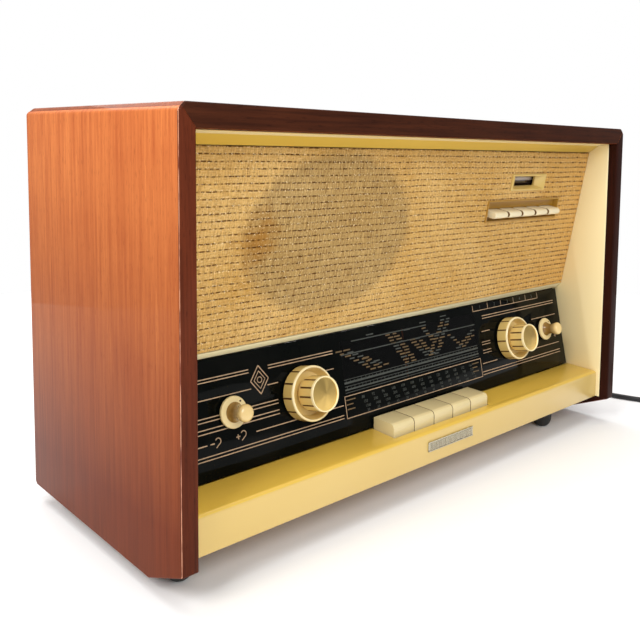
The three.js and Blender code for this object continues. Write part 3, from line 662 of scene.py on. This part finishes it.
def make_cabinet():
    light, dark = srgb(246, 150, 82), srgb(176, 82, 42)
    # the sides carry painted shade, darker towards the foot
    side = wood("mahogany_upright", 2, light, dark, FEET_GAP + 40 * MM, TOP)
    across = wood("mahogany_across", 0, srgb(176, 92, 48), srgb(108, 50, 26))
    # the right band is the same veneer painted darker, as shade
    band_left = wood("edge_band_left", 2, srgb(112, 50, 27), srgb(58, 24, 13))
    band_right_painted_shade = wood("edge_band_right_painted_shade", 2, srgb(62, 25, 14), srgb(30, 11, 7))
    band_across = wood("edge_band_across", 0, srgb(84, 42, 23), srgb(34, 14, 8))
    paint_corner_highlight_and_wear(cabinet_panel("side_panel_left", side, band_left))
    cabinet_panel("side_panel_right", side, band_right_painted_shade)
    cabinet_panel("top_panel", across, band_across)
    board = fibre("plywood_grain", srgb(196, 156, 104), srgb(158, 116, 70), (6, 160, 160))
    finish_node("bottom_board", board)
    finish_node("baffle_board", board)


def on_mitre(point):
    """Whether a point lies on the slanting joint between the top and a side."""
    run, rise = HALF - INNER_HALF, TOP - INNER_TOP
    away = (HALF - abs(point.x)) * rise - (TOP - point.z) * run
    return abs(away) / math.hypot(run, rise) < 0.6 * MM and point.z > INNER_TOP - MM


def cabinet_panel(node, face_wood, band_wood):
    """A veneered panel: its long top corners planed off, its edges eased, the mitre joint left sharp."""
    work = cad_work(node)
    for side in (-1, 1):
        whole = work.verts[:] + work.edges[:] + work.faces[:]
        corner = Vector((side * (HALF - CORNER_PLANED), 0, TOP))
        out = Vector((side, 0, 1))
        bmesh.ops.bisect_plane(work, geom=whole, dist=1e-7, plane_co=corner, plane_no=out, clear_outer=True)
        bmesh.ops.holes_fill(work, edges=[edge for edge in work.edges if edge.is_boundary])
    weld(work, 0.4 * MM)
    bmesh.ops.recalc_face_normals(work, faces=work.faces)
    rounded(work, EDGE_EASED, 4, chosen=lambda edge: not all(on_mitre(vertex.co) for vertex in edge.verts))
    for vertex in work.verts:
        share_back = (vertex.co.y - FRONT) / (REAR - FRONT)
        if vertex.co.z > TOP - CORNER_PLANED - EDGE_EASED - MM:
            vertex.co.z += TOP_RISE * share_back
        elif vertex.co.z < FEET_GAP + FRONT_CUT:
            vertex.co.z -= FRONT_DROP * (1 - share_back)
    panel = piece(node + "_shell", mesh_of(work, node), face_wood, "cabinet", node)
    repaint(panel, band_wood, in_band)
    return panel


def paint_corner_highlight_and_wear(panel):
    """A pale line along the front upright corner: partly lacquer worn pale, partly a painted highlight where the
    eased edge catches the light.
    """
    shader = Shader("corner_highlight_and_wear", Roughness=0.4)
    # the pale colour is partly wear and partly painted highlight
    highlight_and_wear = shader.between(shader.noise(60.0, 3), 0.38, 0.56)
    shader.finish(Base_Color=shader.mix(highlight_and_wear, srgb(120, 54, 30), srgb(206, 142, 108)))

    def at_corner(face):
        near = face.center.y < FRONT + EDGE_EASED and face.center.x < -HALF + EDGE_EASED
        return near and -0.98 < face.normal.x < -0.7

    repaint(panel, shader.material, at_corner)


def make_trim():
    cream = plastic("cream_moulding", srgb(250, 234, 186), srgb(244, 224, 170), 0.3)
    apron = plastic("apron_moulding", srgb(218, 188, 116), srgb(210, 178, 100), 0.3)
    # a darker gold copy of the moulding, used as painted shade
    gold = plastic("golden_moulding_painted_shade", srgb(226, 190, 82), srgb(216, 176, 66), 0.28)
    for node in ("cheek_trim_left", "cheek_trim_right"):
        softened(node, 0.8 * MM, cream)
    strip = softened("top_trim", 0.8 * MM, cream, 3, 12)
    # painted shade: the trim's faces that look down and forward take the darker gold
    repaint(strip, gold, lambda face: -0.9 < face.normal.z < -0.15 and face.normal.y < 0)
    # painted light: a brighter copy of the cream, to lift the shade that the lip's slope gets
    lip = plastic("lip_moulding_painted_light", srgb(255, 246, 208), srgb(250, 236, 186), 0.3)
    softened("grille_lip", 0.8 * MM, lip)
    ledge = softened("front_ledge", 1.2 * MM, apron, 3, 25)
    # painted shade: the ledge's top, in shade under the dial, takes the darker gold
    repaint(ledge, gold, lambda face: face.normal.z > 0.4)


def make_badge():
    """A plate with upright ribs between two plain borders."""
    low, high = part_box("name_badge")
    steel = metal("badge_metal", srgb(206, 200, 182), 0.25, (1, 1, 6), 300)
    work = box_work(low + Vector((0, 0.5 * MM, 0)), high)
    rounded(work, 0.2 * MM, 2)
    border = 1.3 * MM
    rib_count = 34
    pitch = (high.x - low.x - 2 * border) / rib_count
    for i in range(rib_count):
        left = low.x + border + i * pitch + 0.25 * pitch
        rib_low = (left, low.y + 0.05 * MM, low.z + border)
        box_work(rib_low, (left + 0.5 * pitch, low.y + 0.6 * MM, high.z - border), work)
    for bottom, top in ((low.z, low.z + 0.7 * MM), (high.z - 0.7 * MM, high.z)):
        box_work((low.x, low.y, bottom), (high.x, low.y + 0.6 * MM, top), work)
    piece("ribbed_badge", mesh_of(work, "badge"), steel, "cabinet", "name_badge")


# ---- grille
CLOTH_COLUMNS = 260
CLOTH_ROWS_A_RIB = 6


def make_cloth():
    """A stretched sheet whose ribs rise between the dark rows, with its two openings cut out."""
    low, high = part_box("grille_cloth")
    width = high.x - low.x
    height = GRILLE.height
    holes = []
    for node in ("eye_frame", "register_frame"):
        hole_low, hole_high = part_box(node)
        middle_up = GRILLE.local(middle(node))[1]
        half_up = (hole_high.z - hole_low.z) / 2 * 0.93
        holes.append((hole_low.x, hole_high.x, middle_up - half_up, middle_up + half_up))
    rows = round(height / ROW_PITCH) * CLOTH_ROWS_A_RIB
    work = bmesh.new()
    grid = []
    for j in range(rows + 1):
        up = height * j / rows
        rib = abs(math.sin(math.pi * (up / ROW_PITCH - 0.5)))
        out = -0.45 * MM + 0.3 * MM * rib
        line = [low.x + width * i / CLOTH_COLUMNS for i in range(CLOTH_COLUMNS + 1)]
        grid.append([work.verts.new((x, up, out)) for x in line])
    for j in range(rows):
        for i in range(CLOTH_COLUMNS):
            corners = (grid[j][i], grid[j][i + 1], grid[j + 1][i + 1], grid[j + 1][i])
            x = sum(corner.co.x for corner in corners) / 4
            up = sum(corner.co.y for corner in corners) / 4
            if not any(a < x < b and c < up < d for a, b, c, d in holes):
                work.faces.new(corners)
    loose = [vertex for vertex in work.verts if not vertex.link_faces]
    bmesh.ops.delete(work, geom=loose, context="VERTS")
    mesh = mesh_of(work, "grille_weave", 80)
    sheet = piece("grille_weave", mesh, cloth(), "cabinet", "grille_cloth", GRILLE.matrix())
    if sheet.data.polygons[0].normal.z < 0:
        sheet.data.flip_normals()


def make_eye_and_register():
    gold = plastic("window_moulding", srgb(214, 184, 108), srgb(200, 166, 84), 0.28)
    softened("eye_frame", 0.4 * MM, gold)
    tray = plastic("tray_moulding", srgb(176, 130, 34), srgb(156, 112, 24), 0.35)
    softened("register_frame", 0.3 * MM, tray)
    eye = Shader("eye_tube_painted_highlight", Roughness=0.08, Coat_Weight=1.0, Coat_Roughness=0.03)
    # painted highlight: a pale strip across the dark tube, for the glass's reflection
    centre = middle("eye_tube").z
    from_highlight_strip = eye.math("ABSOLUTE", eye.minus(eye.axis(2), centre))
    uneven = eye.plus(from_highlight_strip, eye.times(eye.noise(90.0, 2), 1.2 * MM))
    strip = eye.between(uneven, 1.4 * MM, 2.6 * MM, 1.0, 0.0)
    eye.finish(Base_Color=eye.mix(strip, srgb(46, 38, 36), srgb(220, 206, 194)))
    finish_node("eye_tube", eye.material)
    # painted shade on the flanks between the register buttons
    gap_painted_shade = rubber("button_gap_painted_shade", srgb(96, 66, 20), 0.8)
    white = plastic("button_white", srgb(240, 228, 196), srgb(230, 214, 172), 0.3)
    for i in range(1, 6):
        paint_gap_shade(softened(f"register_button_{i}", 1.4 * MM, white, 3), gap_painted_shade, i)


# ---- dial
INK_FOOT = 0.01 * MM
INK_RAISE = 0.03 * MM
ORNAMENT_X, ORNAMENT_UP = -171.6, 62.7  # the lozenge's centre on the glass, in millimetres
SCALE_WINDOW = (-84 * MM, 105 * MM, 33 * MM, 78 * MM)  # left, right, bottom, top on the glass


class Print:
    """Thin strokes of ink on the front of the dial glass, gathered into one mesh."""

    def __init__(self):
        self.work = bmesh.new()

    def bar(self, left, right, bottom, top):
        box_work((left * MM, bottom * MM, INK_FOOT), (right * MM, top * MM, INK_RAISE), self.work)

    def line(self, left, right, up, thickness=0.75):
        self.bar(left, right, up - thickness / 2, up + thickness / 2)

    def frame(self, left, right, bottom, top, thickness=0.6):
        self.line(left, right, bottom, thickness)
        self.line(left, right, top, thickness)
        self.bar(left, left + thickness, bottom, top)
        self.bar(right - thickness, right, bottom, top)

    def stroke(self, points, thickness=0.6):
        """A joined-up line of slanting bars."""
        for (ax, ay), (bx, by) in zip(points, points[1:]):
            length = math.hypot(bx - ax, by - ay)
            x, y = Vector((ay - by, bx - ax)) / length * thickness / 2
            outline = [(ax + x, ay + y), (ax - x, ay - y), (bx - x, by - y), (bx + x, by + y)]
            low, high = (
                [self.work.verts.new((x * MM, y * MM, z)) for x, y in outline] for z in (INK_FOOT, INK_RAISE)
            )
            self.work.faces.new(low)
            self.work.faces.new(reversed(high))
            for i in range(4):
                j = (i + 1) % 4
                self.work.faces.new((low[j], low[i], high[i], high[j]))

    def number(self, text, left, bottom, size):
        """Digits as flat shapes, standing on a line."""
        letters = bpy.data.curves.new("digits", "FONT")
        letters.body = text
        letters.size = size * MM * 1.4
        letters.extrude = INK_RAISE / 2
        letters.resolution_u = 2
        holder = bpy.data.objects.new("digits", letters)
        flat = bpy.data.meshes.new_from_object(holder)
        flat.transform(Matrix.Translation((left * MM, bottom * MM, INK_RAISE / 2 + INK_FOOT)))
        self.work.from_mesh(flat)
        bpy.data.objects.remove(holder)
        bpy.data.curves.remove(letters)
        bpy.data.meshes.remove(flat)

    def put(self, name, material):
        piece(name, mesh_of(self.work, name), material, "cabinet", (), DIAL.matrix())


def print_controls(gold):
    """Lines that frame the controls at both ends of the dial, with their signs."""
    left_end, right_end = -255, 254
    for left, right, heights in (
        (left_end, ORNAMENT_X - 9.5, (72.1, 69.8)), (ORNAMENT_X + 9.5, -93, (72.1, 69.8)),
        (left_end, ORNAMENT_X - 9, (57.3,)), (ORNAMENT_X + 7, -154, (57.3,)),
        (-106, -94, (57.3, 43.0, 33.4)), (left_end, -156, (44.3, 41.6, 36.3, 33.4)),
        (left_end, -225, (25,)), (-180.5, -88, (25,)), (left_end, -89, (17, 14.5)),
        (118, right_end, (73.2, 70.6)), (114, 128, (57.6,)), (206, right_end, (57.6,)),
        (109, 134, (25.7,)), (184, right_end, (25.7,)), (107, right_end, (17.6, 14.8)),
    ):
        for up in heights:
            gold.line(left, right, up)
    for middle_x, plus in ((-217, False), (-194, True)):
        gold.line(middle_x - 5.2, middle_x - 1.6, 25.0, 0.9)
        if plus:
            gold.bar(middle_x - 3.85, middle_x - 2.95, 23.2, 26.8)
        hook = arc((middle_x + 1.6, 26), 2.4, 150, -70, 8)
        gold.stroke(hook + [(middle_x - 0.4, 21.6)], 0.7)
    for thickness, size in ((0.8, 1.0), (0.6, 0.62)):
        half_width, half_height = 8.6 * size, 11 * size
        lozenge = [(0, half_height), (half_width, 0), (0, -half_height), (-half_width, 0), (0, half_height)]
        gold.stroke([(ORNAMENT_X + x, ORNAMENT_UP + y) for x, y in lozenge], thickness)
    gold.stroke(arc((ORNAMENT_X, ORNAMENT_UP), 2.2, 0, 360, 14), 0.7)
    for up in (47, 44.4, 38.6, 35.8):
        gold.line(112, 126, up, 0.6)
    for x in (236, 246):
        gold.line(x, x + 4, 34, 0.8)
    gold.bar(247.6, 248.4, 32.2, 35.8)


def print_labels(gold, grey):
    """A row of five numbered boxes along the dial's upper right edge."""
    boxes = [104.5, 130, 153.6, 177, 200, 223.5]
    gold.line(boxes[0], boxes[-1], 79.4, 0.6)
    for x in boxes:
        gold.bar(x - 0.3, x + 0.3, 79.4, 85.6)
    for i, x in enumerate(boxes[:-1]):
        grey.number(str(i + 1), x + 11, 81.2, 3.4)


def print_scales(gold, tan, grey):
    """The number box, the waveband stripes and the zigzag blocks of station dashes."""
    gold.frame(-86, 106, 13.5, 31.7, 0.7)
    draw = random.Random(5)
    for row, (up, start, step, size) in enumerate(
        ((26.6, 88, 4, 2.6), (22.4, 150, 50, 2.5), (18.4, 1500, -100, 2.3), (14.6, 50, 5, 2.3))
    ):
        for i in range(13):
            x = -66 + i * 12.6 + row * 1.7
            grey.number(str(start + step * i), x, up, size)
    for left in (-84.5, 91):
        for up, long in ((28.4, 11), (24.6, 8), (20.6, 9.5)):
            tan.line(left, left + long, up, 1.0)
    for left, right, up in ((-84, 104, 66.4), (-70, 30, 76.5)):
        grey.line(left, right, up, 0.9)
    for up, thickness in ((45.4, 0.5), (42.6, 1.7), (39.6, 0.5), (36.9, 1.3), (34.4, 0.5)):
        grey.line(-84, 104, up, thickness)
    for up in (42.6, 36.9):
        for i in range(40):
            x = -82 + i * 4.7 + draw.uniform(-0.6, 0.6)
            grey.bar(x, x + 0.5, up + 0.8, up + draw.choice((2.0, 2.6)))
    runs = (
        (-90, -50, 70, 49, 2), (-26, -6, 75, 47, 2), (4, 22, 66, 49, 2), (52, 28, 78, 48, 2),
        (112, 70, 69, 48, 2), (-58, -34, 60, 50, 1), (60, 76, 62, 50, 1), (22, 34, 74, 62, 1),
    )
    for start_x, end_x, start_up, end_up, columns in runs:
        count = round(abs(start_up - end_up) / 2.7)
        for i in range(count + 1):
            share = i / count
            x = start_x + (end_x - start_x) * share
            up = start_up + (end_up - start_up) * share
            for column in range(columns):
                length = draw.uniform(4.6, 8.2)
                shift = draw.uniform(-1.2, 1.2) + column * 9.2
                if x + shift + length < 104:
                    (tan if draw.random() < 0.7 else grey).line(x + shift, x + shift + length, up, 1.15)
    for x, up in ((-51, 79), (-2, 76), (21, 79.6), (52, 81.5)):
        grey.line(x, x + 9, up, 1.0)


def make_glass():
    """The glass is painted black but for the window over the scales, where the pointer shows."""
    glass = softened("dial_glass", 0.35 * MM, painted_glass())
    glass.data.materials.append(smoked_glass())
    left, right, bottom, top = SCALE_WINDOW
    work = bmesh.new()
    work.from_mesh(glass.data)
    for point, across in (
        (DIAL.point(left, 0), DIAL.right), (DIAL.point(right, 0), DIAL.right),
        (DIAL.point(0, bottom), DIAL.up), (DIAL.point(0, top), DIAL.up),
    ):
        whole = work.verts[:] + work.edges[:] + work.faces[:]
        bmesh.ops.bisect_plane(work, geom=whole, dist=1e-7, plane_co=point, plane_no=across)
    for face in work.faces:
        x, up, _ = DIAL.local(face.calc_center_median())
        face.material_index = int(left < x < right and bottom < up < top)
    work.to_mesh(glass.data)
    work.free()


def make_dial():
    make_glass()
    finish_node("dial_backplate", rubber("backing_black", (0.006, 0.006, 0.007), 0.5))
    finish_node("control_plate", metal("control_plate_steel", srgb(150, 150, 146), 0.4, (1, 8, 1)))
    gold, tan, grey = Print(), Print(), Print()
    print_controls(gold)
    print_labels(gold, grey)
    print_scales(gold, tan, grey)
    gold.put("dial_lines", ink("gold_ink", srgb(196, 164, 130)))
    tan.put("station_marks", ink("tan_ink", srgb(112, 88, 52)))
    grey.put("scale_marks", ink("grey_ink", srgb(68, 72, 66)))
    finish_node("dial_pointer", ink("pointer_paint_red", srgb(226, 120, 60)))


# ---- knobs
GROOVES = 12
GROOVE_HALF_WIDTH = 0.55 * MM
PLAIN, GROOVED, RIM = range(3)  # the kinds of point on a grooved knob's profile
KNOB_UP = 44.2 * MM  # the controls' height above the glass's lower edge


def grooved_turn(back, side, rim, front, depth, segments=6):
    """Turned round +Z from runs of (radius, z) points in millimetres. The side dips at every groove."""
    work = bmesh.new()
    runs = ((back, PLAIN), (side, GROOVED), (rim, RIM), (front, PLAIN))
    profile = [(r * MM, z * MM, kind) for points, kind in runs for r, z in points]
    half = GROOVE_HALF_WIDTH / (side[0][0] * MM)
    lip = half * 1.35
    angles = []
    for i in range(GROOVES):
        middle_angle = math.tau * i / GROOVES
        angles += [(middle_angle - lip, 0), (middle_angle - half, 1), (middle_angle + half, 1)]
        span = math.tau / GROOVES - 2 * lip
        angles += [(middle_angle + lip + span * k / segments, 0) for k in range(segments)]
    rings = []
    for r, z, kind in profile:
        ring = []
        for angle, in_groove in angles:
            reach = r - depth * in_groove * (kind == GROOVED)
            ring.append(work.verts.new((reach * math.cos(angle), reach * math.sin(angle), z)))
        rings.append(ring)
    count = len(angles)
    for (lower, upper), (below, above) in zip(zip(rings, rings[1:]), zip(profile, profile[1:])):
        for i in range(count):
            j = (i + 1) % count
            face = work.faces.new((lower[i], lower[j], upper[j], upper[i]))
            # the rim's faces take the third material, a painted highlight
            if below[2] == above[2] == RIM:
                face.material_index = 2
            elif (angles[i][1] or angles[j][1]) and GROOVED in (below[2], above[2]):
                face.material_index = 1
    weld(work)
    return work


def ring_knob(node, materials):
    """An open-fronted ring: grooved side, thin rim painted paler as a highlight, and a sloping dish round the
    inner knob.
    """
    back = [(3.6, 1.1), (19.6, 1.1), (21.2, 1.3), (21.9, 1.8), (22, 2.0)]
    side = [(22, 2.1), (22, 12.1)]
    rim = [(22, 12.2), (22, 12.9), (21.7, 13.6), (21.1, 13.95), (20.5, 13.8), (20.2, 13.2)]
    dish = [(19.4, 10.5), (18.0, 7.0), (17.2, 5.9), (12, 5.6), (3.6, 5.6), (3.6, 1.1)]
    work = grooved_turn(back, side, rim, dish, 0.7 * MM)
    lathe([(3.6, -26), (5, -26), (5, 0.9), (3.6, 0.9), (3.6, -26)], 32, work)
    weld(work)
    place = DIAL.matrix(middle(node).x, KNOB_UP)
    piece(node + "_grip", mesh_of(work, node, 40), materials, BODY[node], node, place)


def inner_knob(node, materials, face):
    """A grooved cap, its rim painted paler as a highlight, round a spun face that rises to a blunt point."""
    neck = [(3.4, 8), (11.6, 8), (12.4, 8.6), (12.6, 11), (13.7, 11.6), (14, 12.4)]
    side = [(14, 12.5), (14, 25.6)]
    rim = [(14, 25.7), (14, 27.2), (13.8, 27.8), (13.3, 28), (12.9, 27.7), (12.7, 27.0)]
    well = [(3.4, 26.7), (3.4, 8)]
    work = grooved_turn(neck, side, rim, well, 0.6 * MM)
    place = DIAL.matrix(middle(node).x, KNOB_UP)
    piece(node + "_grip", mesh_of(work, node, 40), materials, BODY[node], node, place)
    disc = lathe([(0, 26.8), (12.4, 26.8), (12.5, 27.0), (12.0, 27.1), (1.0, 27.95), (0, 28.0)], 72)
    piece(node + "_face", mesh_of(disc, node + "_face", 60), face, BODY[node], (), place)


def small_knob(node, disc_material, post_material, dot_material):
    """A flat disc on a stem, with a waisted post to hold and a dot that shows the setting."""
    place = DIAL.matrix(middle(node).x, KNOB_UP)
    disc = [(0, -24), (2.2, -24), (2.2, 1.5), (11.2, 1.5), (11.8, 1.8), (12, 2.4), (12, 3.2), (11.7, 3.8),
            (11, 4.05), (7.4, 4.2), (2.0, 4.2), (2.0, 3.0), (0, 3.0)]
    work = lathe(disc, 64)
    weld(work)
    piece(node + "_disc", mesh_of(work, node, 40), disc_material, BODY[node], node, place)
    post = [(0, 4.25), (7.6, 4.25), (7.0, 4.9), (6.0, 6.4), (5.3, 8.6), (5.1, 11), (5.5, 13.6), (6.3, 16),
            (6.6, 17.8), (6.3, 19.3), (5.4, 20.4), (3.8, 21.0), (1.8, 21.25), (0, 21.3)]
    shaped = mesh_of(lathe(post, 48), node + "_post", 50)
    piece(node + "_post", shaped, post_material, BODY[node], (), place)
    dot = lathe([(0, 4.0), (0.8, 4.0), (0.8, 4.2), (0, 4.3)], 16)
    bmesh.ops.translate(dot, verts=dot.verts, vec=(6.2 * MM, 7.2 * MM, 0))
    piece(node + "_dot", mesh_of(dot, node + "_dot"), dot_material, BODY[node], (), place)


def amber_plastic():
    """The small knobs' posts: brown at the foot as painted shade, pale at the tip as painted light."""
    shader = Shader("knob_amber", Roughness=0.25, Coat_Weight=0.5, Coat_Roughness=0.1)
    uneven = shader.plus(shader.axis(2), shader.times(shader.noise(120.0, 2), 3 * MM))
    # painted shade at the foot, painted light towards the tip
    painted_light_toward_tip = shader.between(uneven, 13 * MM, 20.5 * MM)
    shader.finish(Base_Color=shader.mix(painted_light_toward_tip, srgb(138, 104, 50), srgb(230, 200, 136)))
    return shader.material


def make_knobs():
    cream = plastic("knob_cream", srgb(230, 200, 124), srgb(222, 190, 112), 0.26, 0.5)
    ivory = plastic("knob_ivory", srgb(232, 212, 158), srgb(224, 200, 142), 0.3, 0.3)
    amber = amber_plastic()
    groove = rubber("groove_shadow", srgb(84, 54, 22), 0.6)
    # painted highlight: a paler copy of the cream for the knobs' rims
    rim = plastic("knob_rim_painted_highlight", srgb(252, 236, 188), srgb(246, 226, 170), 0.26, 0.5)
    dot = rubber("dot_brown", srgb(60, 36, 20), 0.5)
    face = spun_brass()
    moulded = [cream, groove, rim]
    ring_knob("tone_ring", moulded)
    ring_knob("tuning_ring", moulded)
    inner_knob("volume_knob", moulded, face)
    inner_knob("fine_tuning_knob", moulded, face)
    small_knob("bass_knob", ivory, amber, dot)
    small_knob("treble_knob", ivory, amber, dot)


# ---- keys
def paint_gap_shade(button, gap_painted_shade, place):
    """Painted shade on the flanks between neighbours; the row's two outer flanks keep the plain colour."""

    def inner_flank(face):
        outer = (place == 1 and face.normal.x < 0) or (place == 5 and face.normal.x > 0)
        return abs(face.normal.x) > 0.75 and not outer

    repaint(button, gap_painted_shade, inner_flank)


def make_keys():
    # painted shade on the flanks between the keys
    gap_painted_shade = rubber("key_gap_painted_shade", srgb(74, 52, 24), 0.8)
    ivory = plastic("key_ivory", srgb(224, 208, 160), srgb(216, 198, 146), 0.24, 0.4)
    for i in range(1, 6):
        key = softened(f"piano_key_{i}", 0.9 * MM, ivory, 4, 20)
        paint_gap_shade(key, gap_painted_shade, i)


# ---- back, works and underside
SCREW_RADIUS = 3.4  # millimetres
SCREW_INSET = 9 * MM  # from the rear cover's edges


def screw_head(x, z, y, work):
    """A round domed head that faces the rear."""
    radius = SCREW_RADIUS
    before = len(work.verts)
    lathe([(0, 0), (radius, 0), (radius, 0.3), (radius * 0.75, 1.0), (0, 1.3)], 20, work)
    head = work.verts[before:]
    quarter = Matrix.Rotation(math.radians(-90), 3, "X")
    bmesh.ops.rotate(work, verts=head, cent=(0, 0, 0), matrix=quarter)
    bmesh.ops.translate(work, verts=head, vec=(x, y, z))


def make_back():
    board = fibre("pressed_board", srgb(128, 92, 62), srgb(92, 62, 40), (90, 90, 90), 0.75, 0.0004)
    finish_node("rear_cover", board)
    low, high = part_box("rear_cover")
    work = bmesh.new()
    for x in (low.x + SCREW_INSET, 0, high.x - SCREW_INSET):
        for z in (low.z + SCREW_INSET, high.z - SCREW_INSET):
            screw_head(x, z, high.y + 0.05 * MM, work)
    zinc = metal("screw_zinc", srgb(196, 196, 190), 0.3)
    piece("cover_screws", mesh_of(work, "cover_screws"), zinc, "cabinet")


def make_works():
    zinc = metal("chassis_zinc", srgb(176, 180, 178), 0.38, (1, 6, 1), 120)
    aluminium = metal("soft_aluminium", srgb(204, 206, 206), 0.32, (1, 1, 5), 160)
    dark = metal("basket_steel", srgb(92, 92, 94), 0.45)
    brass = metal("drum_brass", srgb(206, 172, 96), 0.3)
    varnish = fibre("varnished_iron", srgb(96, 72, 50), srgb(52, 38, 28), (8, 8, 700), 0.35, 0.0002)
    paper = fibre("cone_paper", srgb(70, 64, 58), srgb(44, 40, 36), (160, 160, 160), 0.9)
    envelope = clear_glass("valve_envelope", (0.82, 0.88, 0.88))
    looks = {
        zinc: ("chassis", "key_bracket", "speaker_magnet", "volume_shaft", "tuning_shaft"),
        aluminium: ("gang_frame", "gang_rotor"),
        dark: ("speaker_basket",),
        brass: ("drive_drum",),
        varnish: ("mains_transformer", "output_transformer"),
        paper: ("speaker_cone",),
        envelope: ("valve_1", "valve_2", "valve_3"),
    }
    for material, members in looks.items():
        for node in members:
            finish_node(node, material)


def make_feet(black):
    for i in range(1, 5):
        node = f"foot_{i}"
        centre = middle(node)
        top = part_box(node)[1].z / MM
        profile = [(0, 0), (3.4, 0), (5.4, 0.6), (7.4, 2.2), (9.1, 4.8), (10.1, 8.2), (10.45, 12),
                   (10.5, top - 1), (10.3, top), (0, top)]
        work = lathe(profile, 40)
        piece(node + "_pad", mesh_of(work, node, 50), black, "cabinet", node,
              Matrix.Translation((centre.x, centre.y, 0)))


def make_lead():
    black = rubber("lead_black", (0.010, 0.010, 0.011), 0.38)
    lead = make_cord(black)
    low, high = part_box("strain_relief")
    length = (high.y - low.y) / MM
    profile = [(2.9, 0), (8.8, 0), (9, 0.4), (9, 2.6), (8.6, 3), (5.6, 3.2)]
    rib_count = 7
    for i in range(rib_count):
        start = 6 + i * (length - 8) / rib_count
        reach = 5.6 - 1.8 * (start / length)
        profile += [(reach, start), (reach, start + 2.6)]
        profile += [(reach - 0.7, start + 3.0), (reach - 0.7, start + 4.0)]
    profile += [(3.7, length - 0.5), (3.5, length), (2.9, length), (2.9, 0)]
    work = lathe(profile, 32)
    weld(work)
    turn = Matrix.Rotation(math.radians(-90), 4, "X")
    relief = piece("strain_relief_sleeve", mesh_of(work, "strain_relief", 45), black, "cabinet",
                   "strain_relief", Matrix.Translation((CORD_EXIT.x, low.y, CORD_EXIT.z)) @ turn)
    plug = softened("mains_plug", 1.6 * MM, rubber("plug_black", (0.012, 0.012, 0.013), 0.3), 3)
    paint_pins(plug, metal("pin_brass", srgb(212, 190, 130), 0.25))


PIN_LENGTH = 18.5 * MM


def paint_pins(plug, brass):
    """The plug's two pins are brass: everything further out along it than its body."""
    heading = Vector((-math.sin(COIL_END), math.cos(COIL_END), 0))
    reach = max(vertex.co.dot(heading) for vertex in plug.data.vertices)
    repaint(plug, brass, lambda face: face.center.dot(heading) > reach - PIN_LENGTH)


# ---- the whole radio
make_studio()
make_lead()
make_cabinet()
make_trim()
make_badge()
make_cloth()
make_eye_and_register()
make_dial()
make_knobs()
make_keys()
make_back()
make_works()
make_feet(rubber("foot_rubber", (0.012, 0.012, 0.012), 0.55))
